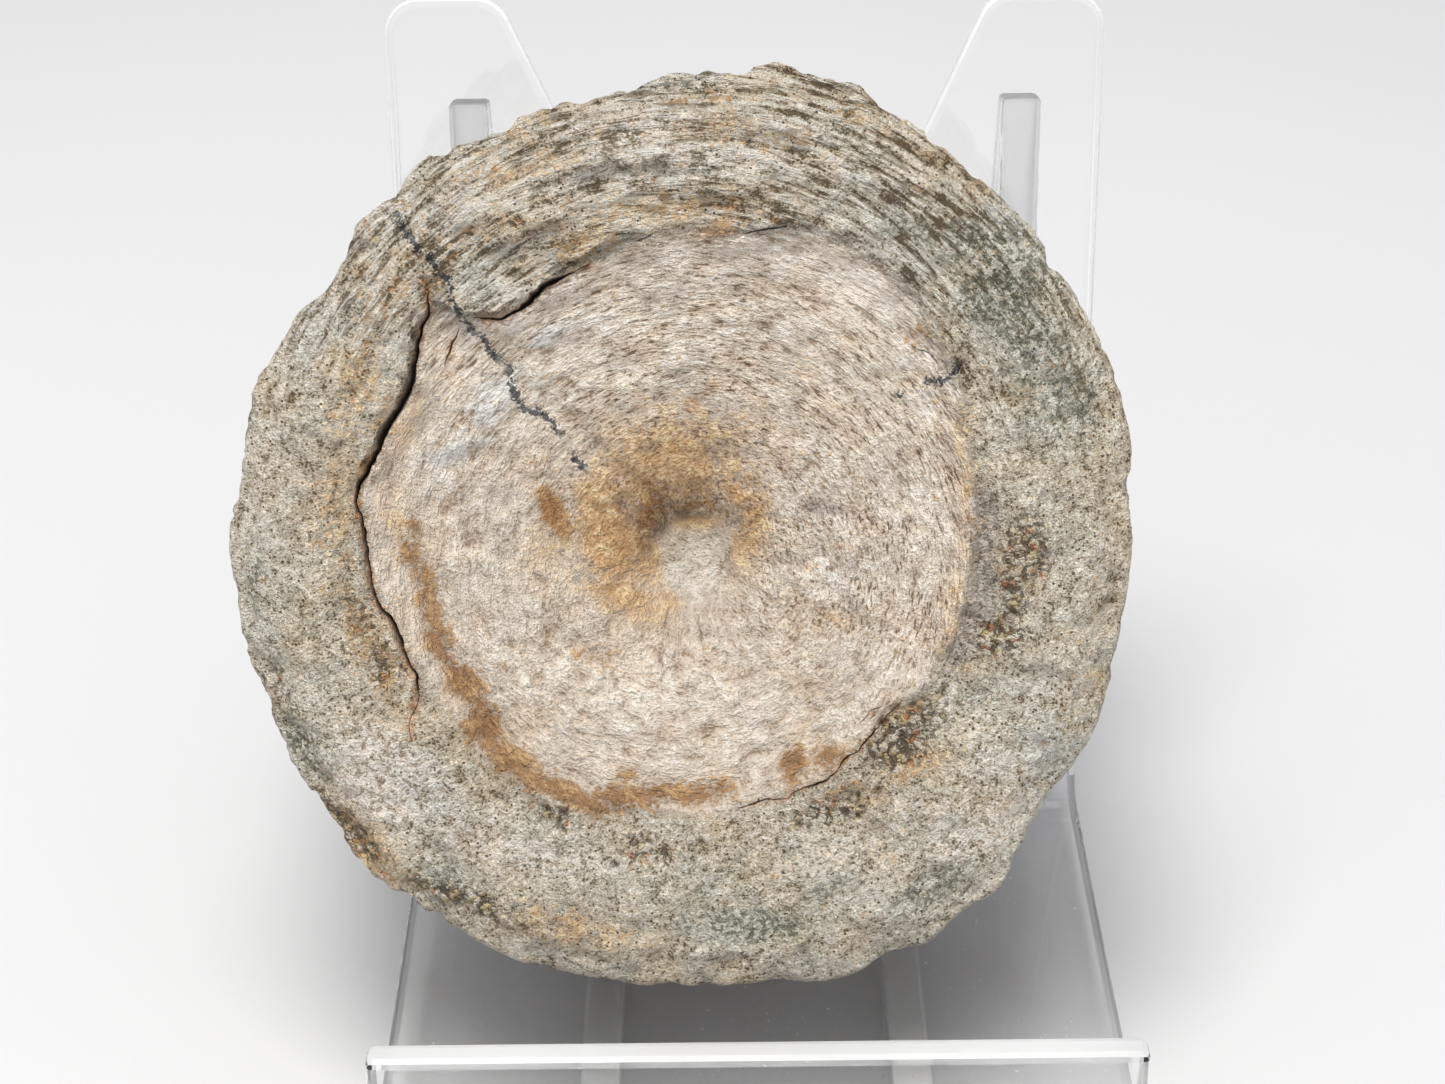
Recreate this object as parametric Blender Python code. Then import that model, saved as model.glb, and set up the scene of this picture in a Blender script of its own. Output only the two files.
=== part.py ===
"""Fossil ichthyosaur vertebra leaning on a small clear easel stand.

Metres, +Z up. The fossil's dished face looks towards -Y and a little upwards.
The origin is at the middle of the whole object's footprint, on the table.
Lengths below are in millimetres and are turned into metres where meshes are made.
"""
import bmesh
import bpy
import numpy as np
from math import cos, pi, radians, sin, tan
from mathutils import Vector

MM = 0.001
GAP = 0.3                       # left between pieces that touch

# Easel stand, bent from one clear sheet
STAND_WIDTH = 76.2
SHEET = 3.0
SHELF_TOP = 9.0                 # height of the shelf's upper face
SHELF_DEPTH = 50.0              # from the corner under the back to the lip
LIP_HEIGHT = 10.4               # above the shelf
LIP_BEND = 2.5                  # inside radius
BACK_BEND = 5.0                 # inside radius
BACK_LEAN = radians(15.3)
BACK_LENGTH = 91.3              # corner to the tips of the prongs
TIP_ROUND = 3.8
NOTCH_HALF_WIDTH = 20.0         # at NOTCH_LEVEL along the back
NOTCH_LEVEL = 78.4
NOTCH_SLOPE = 0.47              # how fast each side of the notch opens
NOTCH_ROUND = 9.0
EDGE_ROUND = 0.8
BEND_STEPS = 6
ROUND_STEPS = 6

# Plates glued behind the prongs and strips glued under the shelf
LEG_THICKNESS = 4.2
LEG_X = 29.8
LEG_TOP = 80.0                  # along the back
LEG_LOW = 8.0                   # where the leg leaves the back
LEG_FOOT_BACK = 40.0
LEG_FOOT_FRONT = 6.0
RAIL_WIDTH = 4.2
RAIL_X = 16.0
RAIL_FRONT = -47.0
RAIL_BACK = -5.0
SMALL_ROUND = 0.5

# Fossil: its own frame has the face in XY, Z out of the face, Y up the face
FACE_CENTRE = Vector((-6.9, -26.15, 63.06))
FACE_LEAN = radians(26.2)       # from the vertical
THICKNESS = 31.4                # at the bottom of the rim
BACK_TILT_X = 0.036             # the back face is not parallel to the front one
BACK_TILT_Y = 0.0235
SPOKES = 96

# Rim of the face, angle from +X in degrees and radius
RIM = (
    (0, 43.3), (4, 43.0), (8, 43.7), (20, 43.9), (35, 43.6), (40, 44.2), (50, 44.1), (60, 44.9),
    (70, 45.5), (75, 45.6), (80, 44.8), (90, 43.5), (100, 42.4), (105, 42.0), (110, 42.3),
    (115, 42.1), (125, 43.1), (130, 42.5), (135, 42.4), (140, 41.3), (145, 40.6), (150, 41.8),
    (155, 42.0), (160, 43.1), (170, 42.4), (175, 42.7), (180, 43.4), (190, 43.2), (195, 43.6),
    (200, 43.2), (210, 44.1), (220, 44.1), (225, 45.6), (240, 45.1), (250, 45.5), (262, 45.2),
    (280, 45.4), (285, 46.4), (290, 47.0), (295, 46.6), (300, 47.3), (305, 46.5), (310, 47.0),
    (315, 45.7), (320, 44.5), (325, 44.3), (330, 44.5), (340, 43.9), (350, 43.3),
)
RIM_FLARE = 0.6                 # the rim is widest a little behind the face
RIM_FLARE_DOWN = 0.4
RIM_DEPTH = 3.2

# Edge between the smooth dish and the rough ring around it
DISH_EDGE = (
    (0, 28.3), (18, 28.7), (26, 29.8), (38, 30.2), (45, 31.5), (58, 31.5), (67, 31.0), (76, 29.2),
    (85, 28.4), (102, 27.9), (113, 26.5), (127, 26.2), (133, 28.2), (138, 31.4), (145, 30.4),
    (152, 29.2), (159, 29.6), (166, 30.1), (172, 31.1), (178, 30.4), (193, 30.0), (199, 29.1),
    (219, 29.1), (229, 29.9), (239, 29.9), (250, 29.7), (260, 28.1), (276, 28.7), (287, 27.6),
    (298, 28.0), (308, 27.4), (318, 26.9), (329, 28.4), (350, 28.1),
)

# Dish: distance from the pit on a scale where the edge is at 28, and depth below the rim
PIT_CENTRE = (1.1, -4.6)
DISH_SPAN = 28.0
DISH = (
    (0, 13.0), (3.2, 12.7), (4.6, 11.7), (6.2, 10.0), (8.5, 8.3), (12, 6.5), (16, 5.0), (20, 3.9),
    (24, 3.0), (28, 2.2),
)
# Share of the dish's edge that stands up as a lip, by angle
DISH_LIP = ((0, 1.2), (30, 1.1), (50, 0.2), (130, 0.0), (210, 0.1), (235, 0.4), (290, 0.8), (330, 1.1))
DISH_LIP_WIDTH = 3.0
# Ring: share of the way from the dish's edge to the rim, and depth
RING = ((0, 1.5), (0.12, 1.0), (0.35, 0.25), (0.55, 0.0), (0.75, 0.2), (0.9, 0.8), (1.0, 1.5))

# Lumps and hollows on the ring: x, y, radius, height
LUMPS = (
    (33.4, -1.6, 2.4, 0.8), (31.2, -6.8, 2.0, 0.6), (30.0, -11.6, 2.2, 0.7), (33.6, -12.0, 1.8, 0.5),
    (27.0, -18.5, 2.4, -0.6), (22.0, -21.6, 2.0, -0.6), (17.0, -27.0, 2.2, 0.5), (24.5, 33.0, 2.8, 0.6),
    (9.0, 38.0, 3.0, 0.5), (-8.0, 36.5, 3.2, 0.6), (-21.0, 31.5, 2.6, 0.7), (-29.5, 22.0, 3.0, 0.6),
    (-35.5, 10.5, 3.0, 0.6), (-34.5, -3.5, 2.8, 0.7), (-37.0, -14.5, 2.6, -0.5), (-31.5, -21.0, 2.8, 0.6),
    (-24.0, -31.0, 3.0, -0.5), (-9.5, -35.0, 3.4, 0.6), (5.5, -36.5, 3.0, -0.5), (19.0, -36.5, 3.4, 0.6),
    (32.0, 21.0, 3.2, 0.6), (37.5, 8.0, 2.8, -0.5), (36.0, -19.5, 2.8, 0.5), (-26.8, 29.6, 2.4, -0.9),
)
# Growth ridges along the top of the ring
RIDGE_STEP = 3.6
RIDGE_HEIGHT = 0.3
RIDGE_MIDDLE = 98.0
RIDGE_SPREAD = 34.0

# Open cracks: x, y, half width and depth along each
LEFT_CRACK = (
    (-23.7, 24.6, 0.10, 0.5), (-23.6, 21.4, 0.20, 1.2), (-24.8, 17.6, 0.36, 2.0), (-25.7, 13.8, 0.42, 2.4),
    (-27.6, 10.6, 0.46, 2.4), (-29.2, 7.4, 0.44, 2.4), (-30.9, 4.3, 0.34, 2.2), (-30.3, 1.2, 0.28, 1.8),
    (-29.9, -3.0, 0.22, 1.6), (-29.3, -6.6, 0.26, 1.8), (-27.4, -9.7, 0.36, 2.2), (-26.3, -12.9, 0.26, 1.8),
    (-25.5, -15.4, 0.20, 1.4), (-26.6, -19.0, 0.10, 0.5),
)
TOP_CRACK = (
    (-19.2, 20.5, 0.10, 0.5), (-16.6, 20.7, 0.22, 1.6), (-14.2, 22.0, 0.36, 2.4), (-12.2, 23.5, 0.40, 2.4),
    (-10.2, 24.6, 0.18, 1.4), (-7.6, 26.1, 0.08, 0.4),
)
CRACK_RISE = 1.6                # how far the crack cutters reach above the surface

# Side wall: waist, rib facets, and the floor of the nerve canal with its two facets
WAIST = 2.6
RIB_FACETS = ((226.0, 0.46), (304.0, 0.46))
RIB_FACET_HEIGHT = 2.6
CANAL_ANGLE = 105.0
CANAL_DEPTH = 1.8
ARCH_FACET_OFFSET = 17.0
ARCH_FACET_HEIGHT = 1.5
BACK_RADIUS = 44.1
BACK_RADIUS_DOWN = 1.85         # wider towards the bottom
BACK_DISH_SHARE = 0.64          # the back dish's edge, as a share of the radius


def clear_scene():
    for item in list(bpy.data.objects):
        bpy.data.objects.remove(item, do_unlink=True)


def smooth_through(places, values, where):
    """Smooth line through the given points that doesn't overshoot them."""
    step = np.diff(places)
    rise = np.diff(values) / step
    slope = np.zeros(len(places))
    slope[0], slope[-1] = rise[0], rise[-1]
    same_way = rise[:-1] * rise[1:] > 0.0
    total = np.where(same_way, rise[:-1] + rise[1:], 1.0)
    slope[1:-1] = np.where(same_way, 2.0 * rise[:-1] * rise[1:] / total, 0.0)
    where = np.clip(where, places[0], places[-1])
    i = np.clip(np.searchsorted(places, where, side="right") - 1, 0, len(step) - 1)
    t = (where - places[i]) / step[i]
    start = values[i] + step[i] * slope[i] * t
    end = values[i + 1] - step[i] * slope[i + 1] * (1.0 - t)
    share = t * t * (3.0 - 2.0 * t)
    return start * (1.0 - share) + end * share


def along(points, where):
    return smooth_through(*np.array(points, float).T, where)


def around(points, degrees):
    """Value at each angle, from (angle, value) points that close on themselves."""
    places, values = np.array(points, float).T
    places = np.concatenate(([places[-1] - 360.0], places, places[:2] + 360.0))
    values = np.concatenate((values[-1:], values, values[:2]))
    return smooth_through(places, values, np.mod(degrees, 360.0))


def smooth_step(low, high, value):
    share = np.clip((value - low) / (high - low), 0.0, 1.0)
    return share * share * (3.0 - 2.0 * share)


def angle_between(a, b):
    return (a - b + 180.0) % 360.0 - 180.0


def widest_radius(degrees):
    return around(RIM, degrees) + RIM_FLARE - RIM_FLARE_DOWN * np.sin(np.radians(degrees))


def face_radius(degrees):
    """Edge of the face, where it turns over into the rim."""
    return widest_radius(degrees) - 1.3


def face_height(x, y):
    """Height of the front surface, zero at the crest of the ring."""
    degrees = np.degrees(np.arctan2(y, x))
    radius = np.hypot(x, y)
    edge = around(DISH_EDGE, degrees)
    outer = face_radius(degrees)
    from_pit = np.hypot(x - PIT_CENTRE[0], y - PIT_CENTRE[1])
    spread = DISH_SPAN * from_pit / (from_pit + np.maximum(edge - radius, 0.0) + 1e-6)
    lip = around(DISH_LIP, degrees) * smooth_step(edge - DISH_LIP_WIDTH, edge - 0.4, radius)
    dish = -along(DISH, spread) + lip
    share = (radius - edge) / (outer - edge)
    ring = -along(RING, share)
    off_axis = angle_between(degrees, RIDGE_MIDDLE) / RIDGE_SPREAD
    ridges = RIDGE_HEIGHT * np.cos(2 * pi * radius / RIDGE_STEP) * np.exp(-off_axis ** 2)
    ring = ring + ridges * smooth_step(0.05, 0.3, share)
    height = np.where(radius < edge + 0.35, dish, ring)
    for lump_x, lump_y, size, rise in LUMPS:
        height = height + rise * np.exp(-((x - lump_x) ** 2 + (y - lump_y) ** 2) / size ** 2)
    return height


def back_depth(x, y):
    """Depth of the back rim's plane below the face."""
    return THICKNESS + BACK_TILT_X * x + BACK_TILT_Y * (y + 45.0)


def back_radius(degrees):
    wobble = 0.35 * np.sin(np.radians(5 * degrees + 40.0)) + 0.25 * np.sin(np.radians(11 * degrees))
    return BACK_RADIUS - BACK_RADIUS_DOWN * np.sin(np.radians(degrees)) + wobble


def bump(degrees, share, at_degrees, at_share, spread_degrees, spread_share):
    return np.exp(-(angle_between(degrees, at_degrees) / spread_degrees) ** 2
                  - ((share - at_share) / spread_share) ** 2)


def wall_radius(degrees, share):
    """Side wall from the front rim (share 0) to the back rim (share 1)."""
    radius = widest_radius(degrees) * (1.0 - share) + back_radius(degrees) * share
    radius = radius - WAIST * np.sin(pi * share)
    for at_degrees, at_share in RIB_FACETS:
        radius = radius + RIB_FACET_HEIGHT * bump(degrees, share, at_degrees, at_share, 9.0, 0.26)
        radius = radius - 1.1 * bump(degrees, share, at_degrees, at_share, 4.0, 0.12)
    radius = radius - CANAL_DEPTH * bump(degrees, share, CANAL_ANGLE, 0.5, 7.0, 0.34)
    for side in (-1.0, 1.0):
        at_degrees = CANAL_ANGLE + side * ARCH_FACET_OFFSET
        radius = radius + ARCH_FACET_HEIGHT * bump(degrees, share, at_degrees, 0.5, 7.0, 0.28)
        radius = radius - 1.0 * bump(degrees, share, at_degrees, 0.5, 3.6, 0.16)
    return radius


def ring_of(count):
    return np.arange(count) * 360.0 / count


def face_ring(degrees, scale_from, scale_to, share):
    """Points of the front surface between two closed lines around the face."""
    x = scale_from[0] * (1.0 - share) + scale_to[0] * share
    y = scale_from[1] * (1.0 - share) + scale_to[1] * share
    return np.stack((x, y, face_height(x, y)), axis=1)


def polar(degrees, radius, centre=(0.0, 0.0)):
    turn = np.radians(degrees)
    return centre[0] + radius * np.cos(turn), centre[1] + radius * np.sin(turn)


def front_rings():
    """Closed rings of points from the pit outwards, with more points further out."""
    rings = [np.array([[PIT_CENTRE[0], PIT_CENTRE[1], face_height(*PIT_CENTRE)]])]
    for radius, count in ((2.6, 12), (4.2, 24), (5.8, 24), (8.2, 48), (11.4, 48)):
        x, y = polar(ring_of(count), radius, PIT_CENTRE)
        rings.append(np.stack((x, y, face_height(x, y)), axis=1))
    degrees = ring_of(SPOKES)
    pit_line = polar(degrees, 11.4, PIT_CENTRE)
    edge = around(DISH_EDGE, degrees)
    edge_line = polar(degrees, edge)
    for share in (0.24, 0.5, 0.76, 0.9, 1.0):
        rings.append(face_ring(degrees, pit_line, edge_line, share))
    outer_line = polar(degrees, face_radius(degrees))
    ledge_line = polar(degrees, edge + 0.75)
    for share in (0.0, 0.14, 0.28, 0.42, 0.56, 0.7, 0.84, 1.0):
        rings.append(face_ring(degrees, ledge_line, outer_line, share))
    return rings


def side_rings():
    degrees = ring_of(SPOKES)
    rings = []
    for share in (0.0, 0.12, 0.28, 0.44, 0.6, 0.76, 0.9, 1.0):
        radius = wall_radius(degrees, share)
        x, y = polar(degrees, radius)
        depth = RIM_DEPTH * (1.0 - share) + (back_depth(x, y) - RIM_DEPTH) * share
        rings.append(np.stack((x, y, -depth), axis=1))
    return rings


def back_rings():
    """Closed rings over the back face, from its rim to the middle."""
    degrees = ring_of(SPOKES)
    radius = back_radius(degrees)
    rings = []
    for inset, rise in ((1.3, 0.9), (3.4, 0.1), (7.0, 0.0)):
        x, y = polar(degrees, radius - inset)
        rings.append(np.stack((x, y, rise - back_depth(x, y)), axis=1))
    for scale, count in ((1.0, 96), (0.86, 96), (0.68, 48), (0.5, 48), (0.34, 24), (0.2, 24), (0.1, 12)):
        turns = ring_of(count)
        reach = back_radius(turns) * BACK_DISH_SHARE * scale
        x, y = polar(turns, reach, (PIT_CENTRE[0] * (1.0 - scale), PIT_CENTRE[1] * (1.0 - scale)))
        rise = along(DISH, DISH_SPAN * scale) - 1.2
        rings.append(np.stack((x, y, rise - back_depth(x, y)), axis=1))
    x, y = np.array([PIT_CENTRE[0]]), np.array([PIT_CENTRE[1]])
    rings.append(np.stack((x, y, DISH[0][1] - 1.2 - back_depth(x, y)), axis=1))
    return rings


def stitch(mesh, ring_a, ring_b):
    """Faces between two rings; one may have twice the other's points, or be a single point."""
    few, many = sorted((ring_a, ring_b), key=len)
    count, total = len(few), len(many)
    for i in range(total if count == 1 else count):
        if count == 1:
            mesh.faces.new((few[0], many[i], many[(i + 1) % total]))
        elif count == total:
            j = (i + 1) % count
            mesh.faces.new((few[i], many[i], many[j], few[j]))
        else:
            j = (i + 1) % count
            middle = many[2 * i + 1]
            mesh.faces.new((few[i], many[2 * i], middle))
            mesh.faces.new((few[i], middle, few[j]))
            mesh.faces.new((few[j], middle, many[(2 * i + 2) % total]))


def new_material(name, colour, roughness, transmission=0.0, ior=1.5):
    material = bpy.data.materials.new(name)
    material.use_nodes = True
    shader = material.node_tree.nodes["Principled BSDF"]
    shader.inputs["Base Color"].default_value = (*colour, 1.0)
    shader.inputs["Roughness"].default_value = roughness
    shader.inputs["Metallic"].default_value = 0.0
    shader.inputs["Transmission Weight"].default_value = transmission
    shader.inputs["IOR"].default_value = ior
    return material


def add_object(name, mesh, material, root):
    data = bpy.data.meshes.new(name)
    bmesh.ops.recalc_face_normals(mesh, faces=mesh.faces)
    mesh.to_mesh(data)
    mesh.free()
    item = bpy.data.objects.new(name, data)
    bpy.context.collection.objects.link(item)
    item.parent = root
    if material:
        data.materials.append(material)
    return item


def build_vertebra(root):
    mesh = bmesh.new()
    rings = front_rings() + side_rings() + back_rings()
    verts = [[mesh.verts.new(Vector(point) * MM) for point in ring] for ring in rings]
    for inner, outer in zip(verts[:-1], verts[1:]):
        stitch(mesh, inner, outer)
    item = add_object("vertebra", mesh, new_material("fossil_bone", (0.50, 0.45, 0.37), 0.8), root)
    item.location = FACE_CENTRE * MM
    item.rotation_euler = (pi / 2 - FACE_LEAN, 0.0, 0.0)
    for name, route in (("left_crack_cutter", LEFT_CRACK), ("top_crack_cutter", TOP_CRACK)):
        cutter = build_crack_cutter(name, route, root)
        cutter.location = item.location
        cutter.rotation_euler = item.rotation_euler
        cut = item.modifiers.new(name, "BOOLEAN")
        cut.operation = "DIFFERENCE"
        cut.solver = "EXACT"
        cut.object = cutter
    item.data.shade_smooth()
    item.data.set_sharp_from_angle(angle=radians(40))
    return item


def build_crack_cutter(name, route, root):
    """A thin wedge that follows the surface, open upwards and sharp at its foot."""
    mesh = bmesh.new()
    places = np.array([p[:2] for p in route])
    tangents = np.gradient(places, axis=0)
    tangents /= np.linalg.norm(tangents, axis=1)[:, None]
    sections = []
    for (x, y, half, depth), (tx, ty) in zip(route, tangents):
        z = float(face_height(np.array(x), np.array(y)))
        wide = half * (1.0 + CRACK_RISE / depth)
        corners = ((x - ty * wide, y + tx * wide, z + CRACK_RISE),
                   (x + ty * wide, y - tx * wide, z + CRACK_RISE),
                   (x, y, z - depth))
        sections.append([mesh.verts.new(Vector(c) * MM) for c in corners])
    for near, far in zip(sections[:-1], sections[1:]):
        for i in range(3):
            j = (i + 1) % 3
            mesh.faces.new((near[i], near[j], far[j], far[i]))
    mesh.faces.new(sections[0])
    mesh.faces.new(sections[-1][::-1])
    cutter = add_object(name, mesh, None, root)
    cutter.hide_render = True
    cutter.display_type = "WIRE"
    return cutter


def on_back(x, along_back, behind=0.0):
    """Point on the stand's leaning back, at a distance up from the corner."""
    return Vector((x,
                   along_back * sin(BACK_LEAN) + behind * cos(BACK_LEAN),
                   SHELF_TOP + along_back * cos(BACK_LEAN) - behind * sin(BACK_LEAN)))


def arc(centre, radius, start, end, steps):
    turns = [start + (end - start) * i / steps for i in range(steps + 1)]
    return [(centre[0] + radius * cos(t), centre[1] + radius * sin(t)) for t in turns]


def half_prong_outline():
    """Right prong in the back's plane, from the outer side round the tip to the notch's foot."""
    half = STAND_WIDTH / 2
    slope = np.arctan(NOTCH_SLOPE)
    inner_top = NOTCH_HALF_WIDTH + NOTCH_SLOPE * (BACK_LENGTH - TIP_ROUND - NOTCH_LEVEL)
    inner_centre = (inner_top + TIP_ROUND / cos(slope), BACK_LENGTH - TIP_ROUND)
    points = arc((half - TIP_ROUND, BACK_LENGTH - TIP_ROUND), TIP_ROUND, 0.0, pi / 2, ROUND_STEPS)
    points += arc(inner_centre, TIP_ROUND, pi / 2, pi - slope, ROUND_STEPS)
    foot_level = NOTCH_LEVEL - (NOTCH_HALF_WIDTH - NOTCH_ROUND / cos(slope)) / NOTCH_SLOPE
    points += arc((0.0, foot_level), NOTCH_ROUND, -slope, -pi / 2, ROUND_STEPS)
    return points


def build_stand_panel(root):
    mesh = bmesh.new()
    half = STAND_WIDTH / 2
    bend_length = BACK_BEND * tan((pi / 2 - BACK_LEAN) / 2)
    right = half_prong_outline()
    left = [(-x, level) for x, level in reversed(right[:-1])]
    outline = [(half, bend_length)] + right + left + [(-half, bend_length)]
    back = [mesh.verts.new(on_back(x, level) * MM) for x, level in outline]
    mesh.faces.new(back)
    bend = arc((-bend_length, SHELF_TOP + BACK_BEND), BACK_BEND, -BACK_LEAN, -pi / 2, BEND_STEPS)
    lip = arc((-SHELF_DEPTH + LIP_BEND, SHELF_TOP + LIP_BEND), LIP_BEND, -pi / 2, -pi, BEND_STEPS)
    profile = bend[1:] + lip + [(-SHELF_DEPTH, SHELF_TOP + LIP_HEIGHT)]
    pair = (back[0], back[-1])
    for y, z in profile:
        step = (mesh.verts.new(Vector((half, y, z)) * MM), mesh.verts.new(Vector((-half, y, z)) * MM))
        mesh.faces.new((pair[0], pair[1], step[1], step[0]))
        pair = step
    item = add_object("stand_panel", mesh, new_material("clear_sheet", (0.92, 0.95, 0.97), 0.04, 1.0, 1.49), root)
    if item.data.polygons[0].normal.y > 0:
        item.data.flip_normals()
    thick = item.modifiers.new("sheet", "SOLIDIFY")
    thick.thickness = SHEET * MM
    thick.offset = -1.0
    thick.use_even_offset = True
    soften(item, EDGE_ROUND, 2)
    return item


def soften(item, width, segments):
    rounding = item.modifiers.new("polished_edges", "BEVEL")
    rounding.width = width * MM
    rounding.segments = segments
    rounding.limit_method = "ANGLE"
    rounding.angle_limit = radians(50)
    item.data.shade_smooth()


def extruded_plate(name, outline, centre_x, thickness, material, root):
    """A flat plate standing in the YZ plane."""
    mesh = bmesh.new()
    low, high = centre_x - thickness / 2, centre_x + thickness / 2
    near = [mesh.verts.new(Vector((low, y, z)) * MM) for y, z in outline]
    far = [mesh.verts.new(Vector((high, y, z)) * MM) for y, z in outline]
    mesh.faces.new(near)
    mesh.faces.new(far[::-1])
    for i in range(len(outline)):
        j = (i + 1) % len(outline)
        mesh.faces.new((near[i], far[i], far[j], near[j]))
    item = add_object(name, mesh, material, root)
    soften(item, SMALL_ROUND, 2)
    return item


def build_legs(root):
    behind = SHEET + GAP
    low = on_back(0.0, LEG_LOW, behind)
    top = on_back(0.0, LEG_TOP, behind)
    top_back = on_back(0.0, LEG_TOP, behind + LEG_THICKNESS)
    outline = ((LEG_FOOT_FRONT, 0.0), (LEG_FOOT_BACK, 0.0), (LEG_FOOT_BACK, LEG_THICKNESS),
               (top_back.y, top_back.z), (top.y, top.z), (low.y, low.z))
    for name, x in (("rear_leg_left", -LEG_X), ("rear_leg_right", LEG_X)):
        material = new_material(name + "_clear", (0.92, 0.95, 0.97), 0.04, 1.0, 1.49)
        extruded_plate(name, outline, x, LEG_THICKNESS, material, root)


def build_rails(root):
    top = SHELF_TOP - SHEET - GAP
    outline = ((RAIL_FRONT, 0.0), (RAIL_BACK, 0.0), (RAIL_BACK, top), (RAIL_FRONT, top))
    for name, x in (("shelf_rail_left", -RAIL_X), ("shelf_rail_right", RAIL_X)):
        material = new_material(name + "_clear", (0.92, 0.95, 0.97), 0.04, 1.0, 1.49)
        extruded_plate(name, outline, x, RAIL_WIDTH, material, root)


def centre_on_footprint(root):
    """Move everything so that the origin is under the middle of the object's box."""
    bpy.context.view_layer.update()
    graph = bpy.context.evaluated_depsgraph_get()
    corners = []
    for item in bpy.data.objects:
        if item.type == "MESH" and not item.hide_render:
            ready = item.evaluated_get(graph)
            corners += [ready.matrix_world @ Vector(corner) for corner in ready.bound_box]
    low = [min(c[i] for c in corners) for i in range(3)]
    high = [max(c[i] for c in corners) for i in range(3)]
    root.location = (-(low[0] + high[0]) / 2, -(low[1] + high[1]) / 2, -low[2])
    bpy.context.view_layer.update()


def main():
    clear_scene()
    root = bpy.data.objects.new("easel_and_fossil", None)
    bpy.context.collection.objects.link(root)
    build_stand_panel(root)
    build_legs(root)
    build_rails(root)
    build_vertebra(root)
    centre_on_footprint(root)


main()
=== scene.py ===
"""Looks of a fossil vertebra that leans on a small clear easel.

The fossil has its own frame, in millimetres: X and Y lie in the face and Z points out of it.
Places of marks on the face are given as they line up on the rim's plane, seen from in front.
"""

from math import cos, pi, radians, sin

import bmesh
import bpy
import numpy as np
from mathutils import Matrix, Vector, noise


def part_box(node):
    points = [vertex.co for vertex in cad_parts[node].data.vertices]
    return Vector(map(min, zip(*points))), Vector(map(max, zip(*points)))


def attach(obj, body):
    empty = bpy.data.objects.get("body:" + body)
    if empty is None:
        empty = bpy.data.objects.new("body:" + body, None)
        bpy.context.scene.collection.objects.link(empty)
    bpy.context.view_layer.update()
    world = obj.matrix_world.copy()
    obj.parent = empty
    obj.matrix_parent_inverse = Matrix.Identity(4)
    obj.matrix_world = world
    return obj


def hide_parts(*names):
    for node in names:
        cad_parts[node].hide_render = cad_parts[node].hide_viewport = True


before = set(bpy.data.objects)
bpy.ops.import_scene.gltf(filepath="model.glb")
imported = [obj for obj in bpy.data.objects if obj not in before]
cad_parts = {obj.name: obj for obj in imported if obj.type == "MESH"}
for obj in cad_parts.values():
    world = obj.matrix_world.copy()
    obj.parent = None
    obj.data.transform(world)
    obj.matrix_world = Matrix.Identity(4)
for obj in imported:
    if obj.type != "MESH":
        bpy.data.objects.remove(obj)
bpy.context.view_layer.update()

MM = 0.001

# Where the fossil leans, from the corner of the easel
SHELF_DEPTH = 53.0              # from that corner to the outside of the lip
FACE_CENTRE = Vector((-6.9, -26.15, 63.06))
FACE_LEAN = radians(26.2)

# Camera, from the same corner
CAMERA_PLACE = Vector((-2.9, -217.0, 190.5))
CAMERA_DOWN = radians(34.0)
CAMERA_ROLL = radians(-0.6)
SENSOR = 36.0
LENS = 2400.0 / 1445.0 * SENSOR  # focal length and width of the image in its pixels
VIEW_FOOT = (4.0, 30.1)         # the camera's foot on the face's plane, in the fossil's frame
VIEW_DISTANCE = 227.5

# Rim of the face, angle from +X in degrees and radius
RIM = (
    (0, 43.3), (4, 43), (8, 43.7), (20, 43.9), (35, 43.6), (40, 44.2), (50, 44.1), (60, 44.9), (70, 45.5),
    (75, 45.6), (80, 44.8), (90, 43.5), (100, 42.4), (105, 42), (110, 42.3), (115, 42.1), (125, 43.1),
    (130, 42.5), (135, 42.4), (140, 41.3), (145, 40.6), (150, 41.8), (155, 42), (160, 43.1), (170, 42.4),
    (175, 42.7), (180, 43.4), (190, 43.2), (195, 43.6), (200, 43.2), (210, 44.1), (220, 44.1), (225, 45.6),
    (240, 45.1), (250, 45.5), (262, 45.2), (280, 45.4), (285, 46.4), (290, 47), (295, 46.6), (300, 47.3),
    (305, 46.5), (310, 47), (315, 45.7), (320, 44.5), (325, 44.3), (330, 44.5), (340, 43.9), (350, 43.3),
)
RIM_FLARE = 0.6                 # the rim is widest a little behind the face
RIM_FLARE_DOWN = 0.4
RIM_DEPTH = 3.2
BEVEL = 1.3
THICKNESS = 31.4
BACK_TILT_X = 0.036
BACK_TILT_Y = 0.0235

# Edge between the smooth dish and the rough ring around it
DISH_EDGE = (
    (0, 28.3), (18, 28.7), (26, 29.8), (38, 30.2), (45, 31.5), (58, 31.5), (67, 31), (76, 29.2), (85, 28.4),
    (102, 27.9), (113, 26.5), (127, 26.2), (133, 28.2), (138, 31.4), (145, 30.4), (152, 29.2), (159, 29.6),
    (166, 30.1), (172, 31.1), (178, 30.4), (193, 30), (199, 29.1), (219, 29.1), (229, 29.9), (239, 29.9),
    (250, 29.7), (260, 28.1), (276, 28.7), (287, 27.6), (298, 28), (308, 27.4), (318, 26.9), (329, 28.4),
    (350, 28.1),
)
# Dish: distance from the pit on a scale where the edge is at 28, and depth below the rim
PIT_CENTRE = (1.1, -4.6)
DISH_SPAN = 28.0
DISH = (
    (0, 13), (3.2, 12.7), (4.6, 11.7), (6.2, 10), (8.5, 8.3), (12, 6.5), (16, 5), (20, 3.9), (24, 3),
    (28, 2.2),
)
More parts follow.
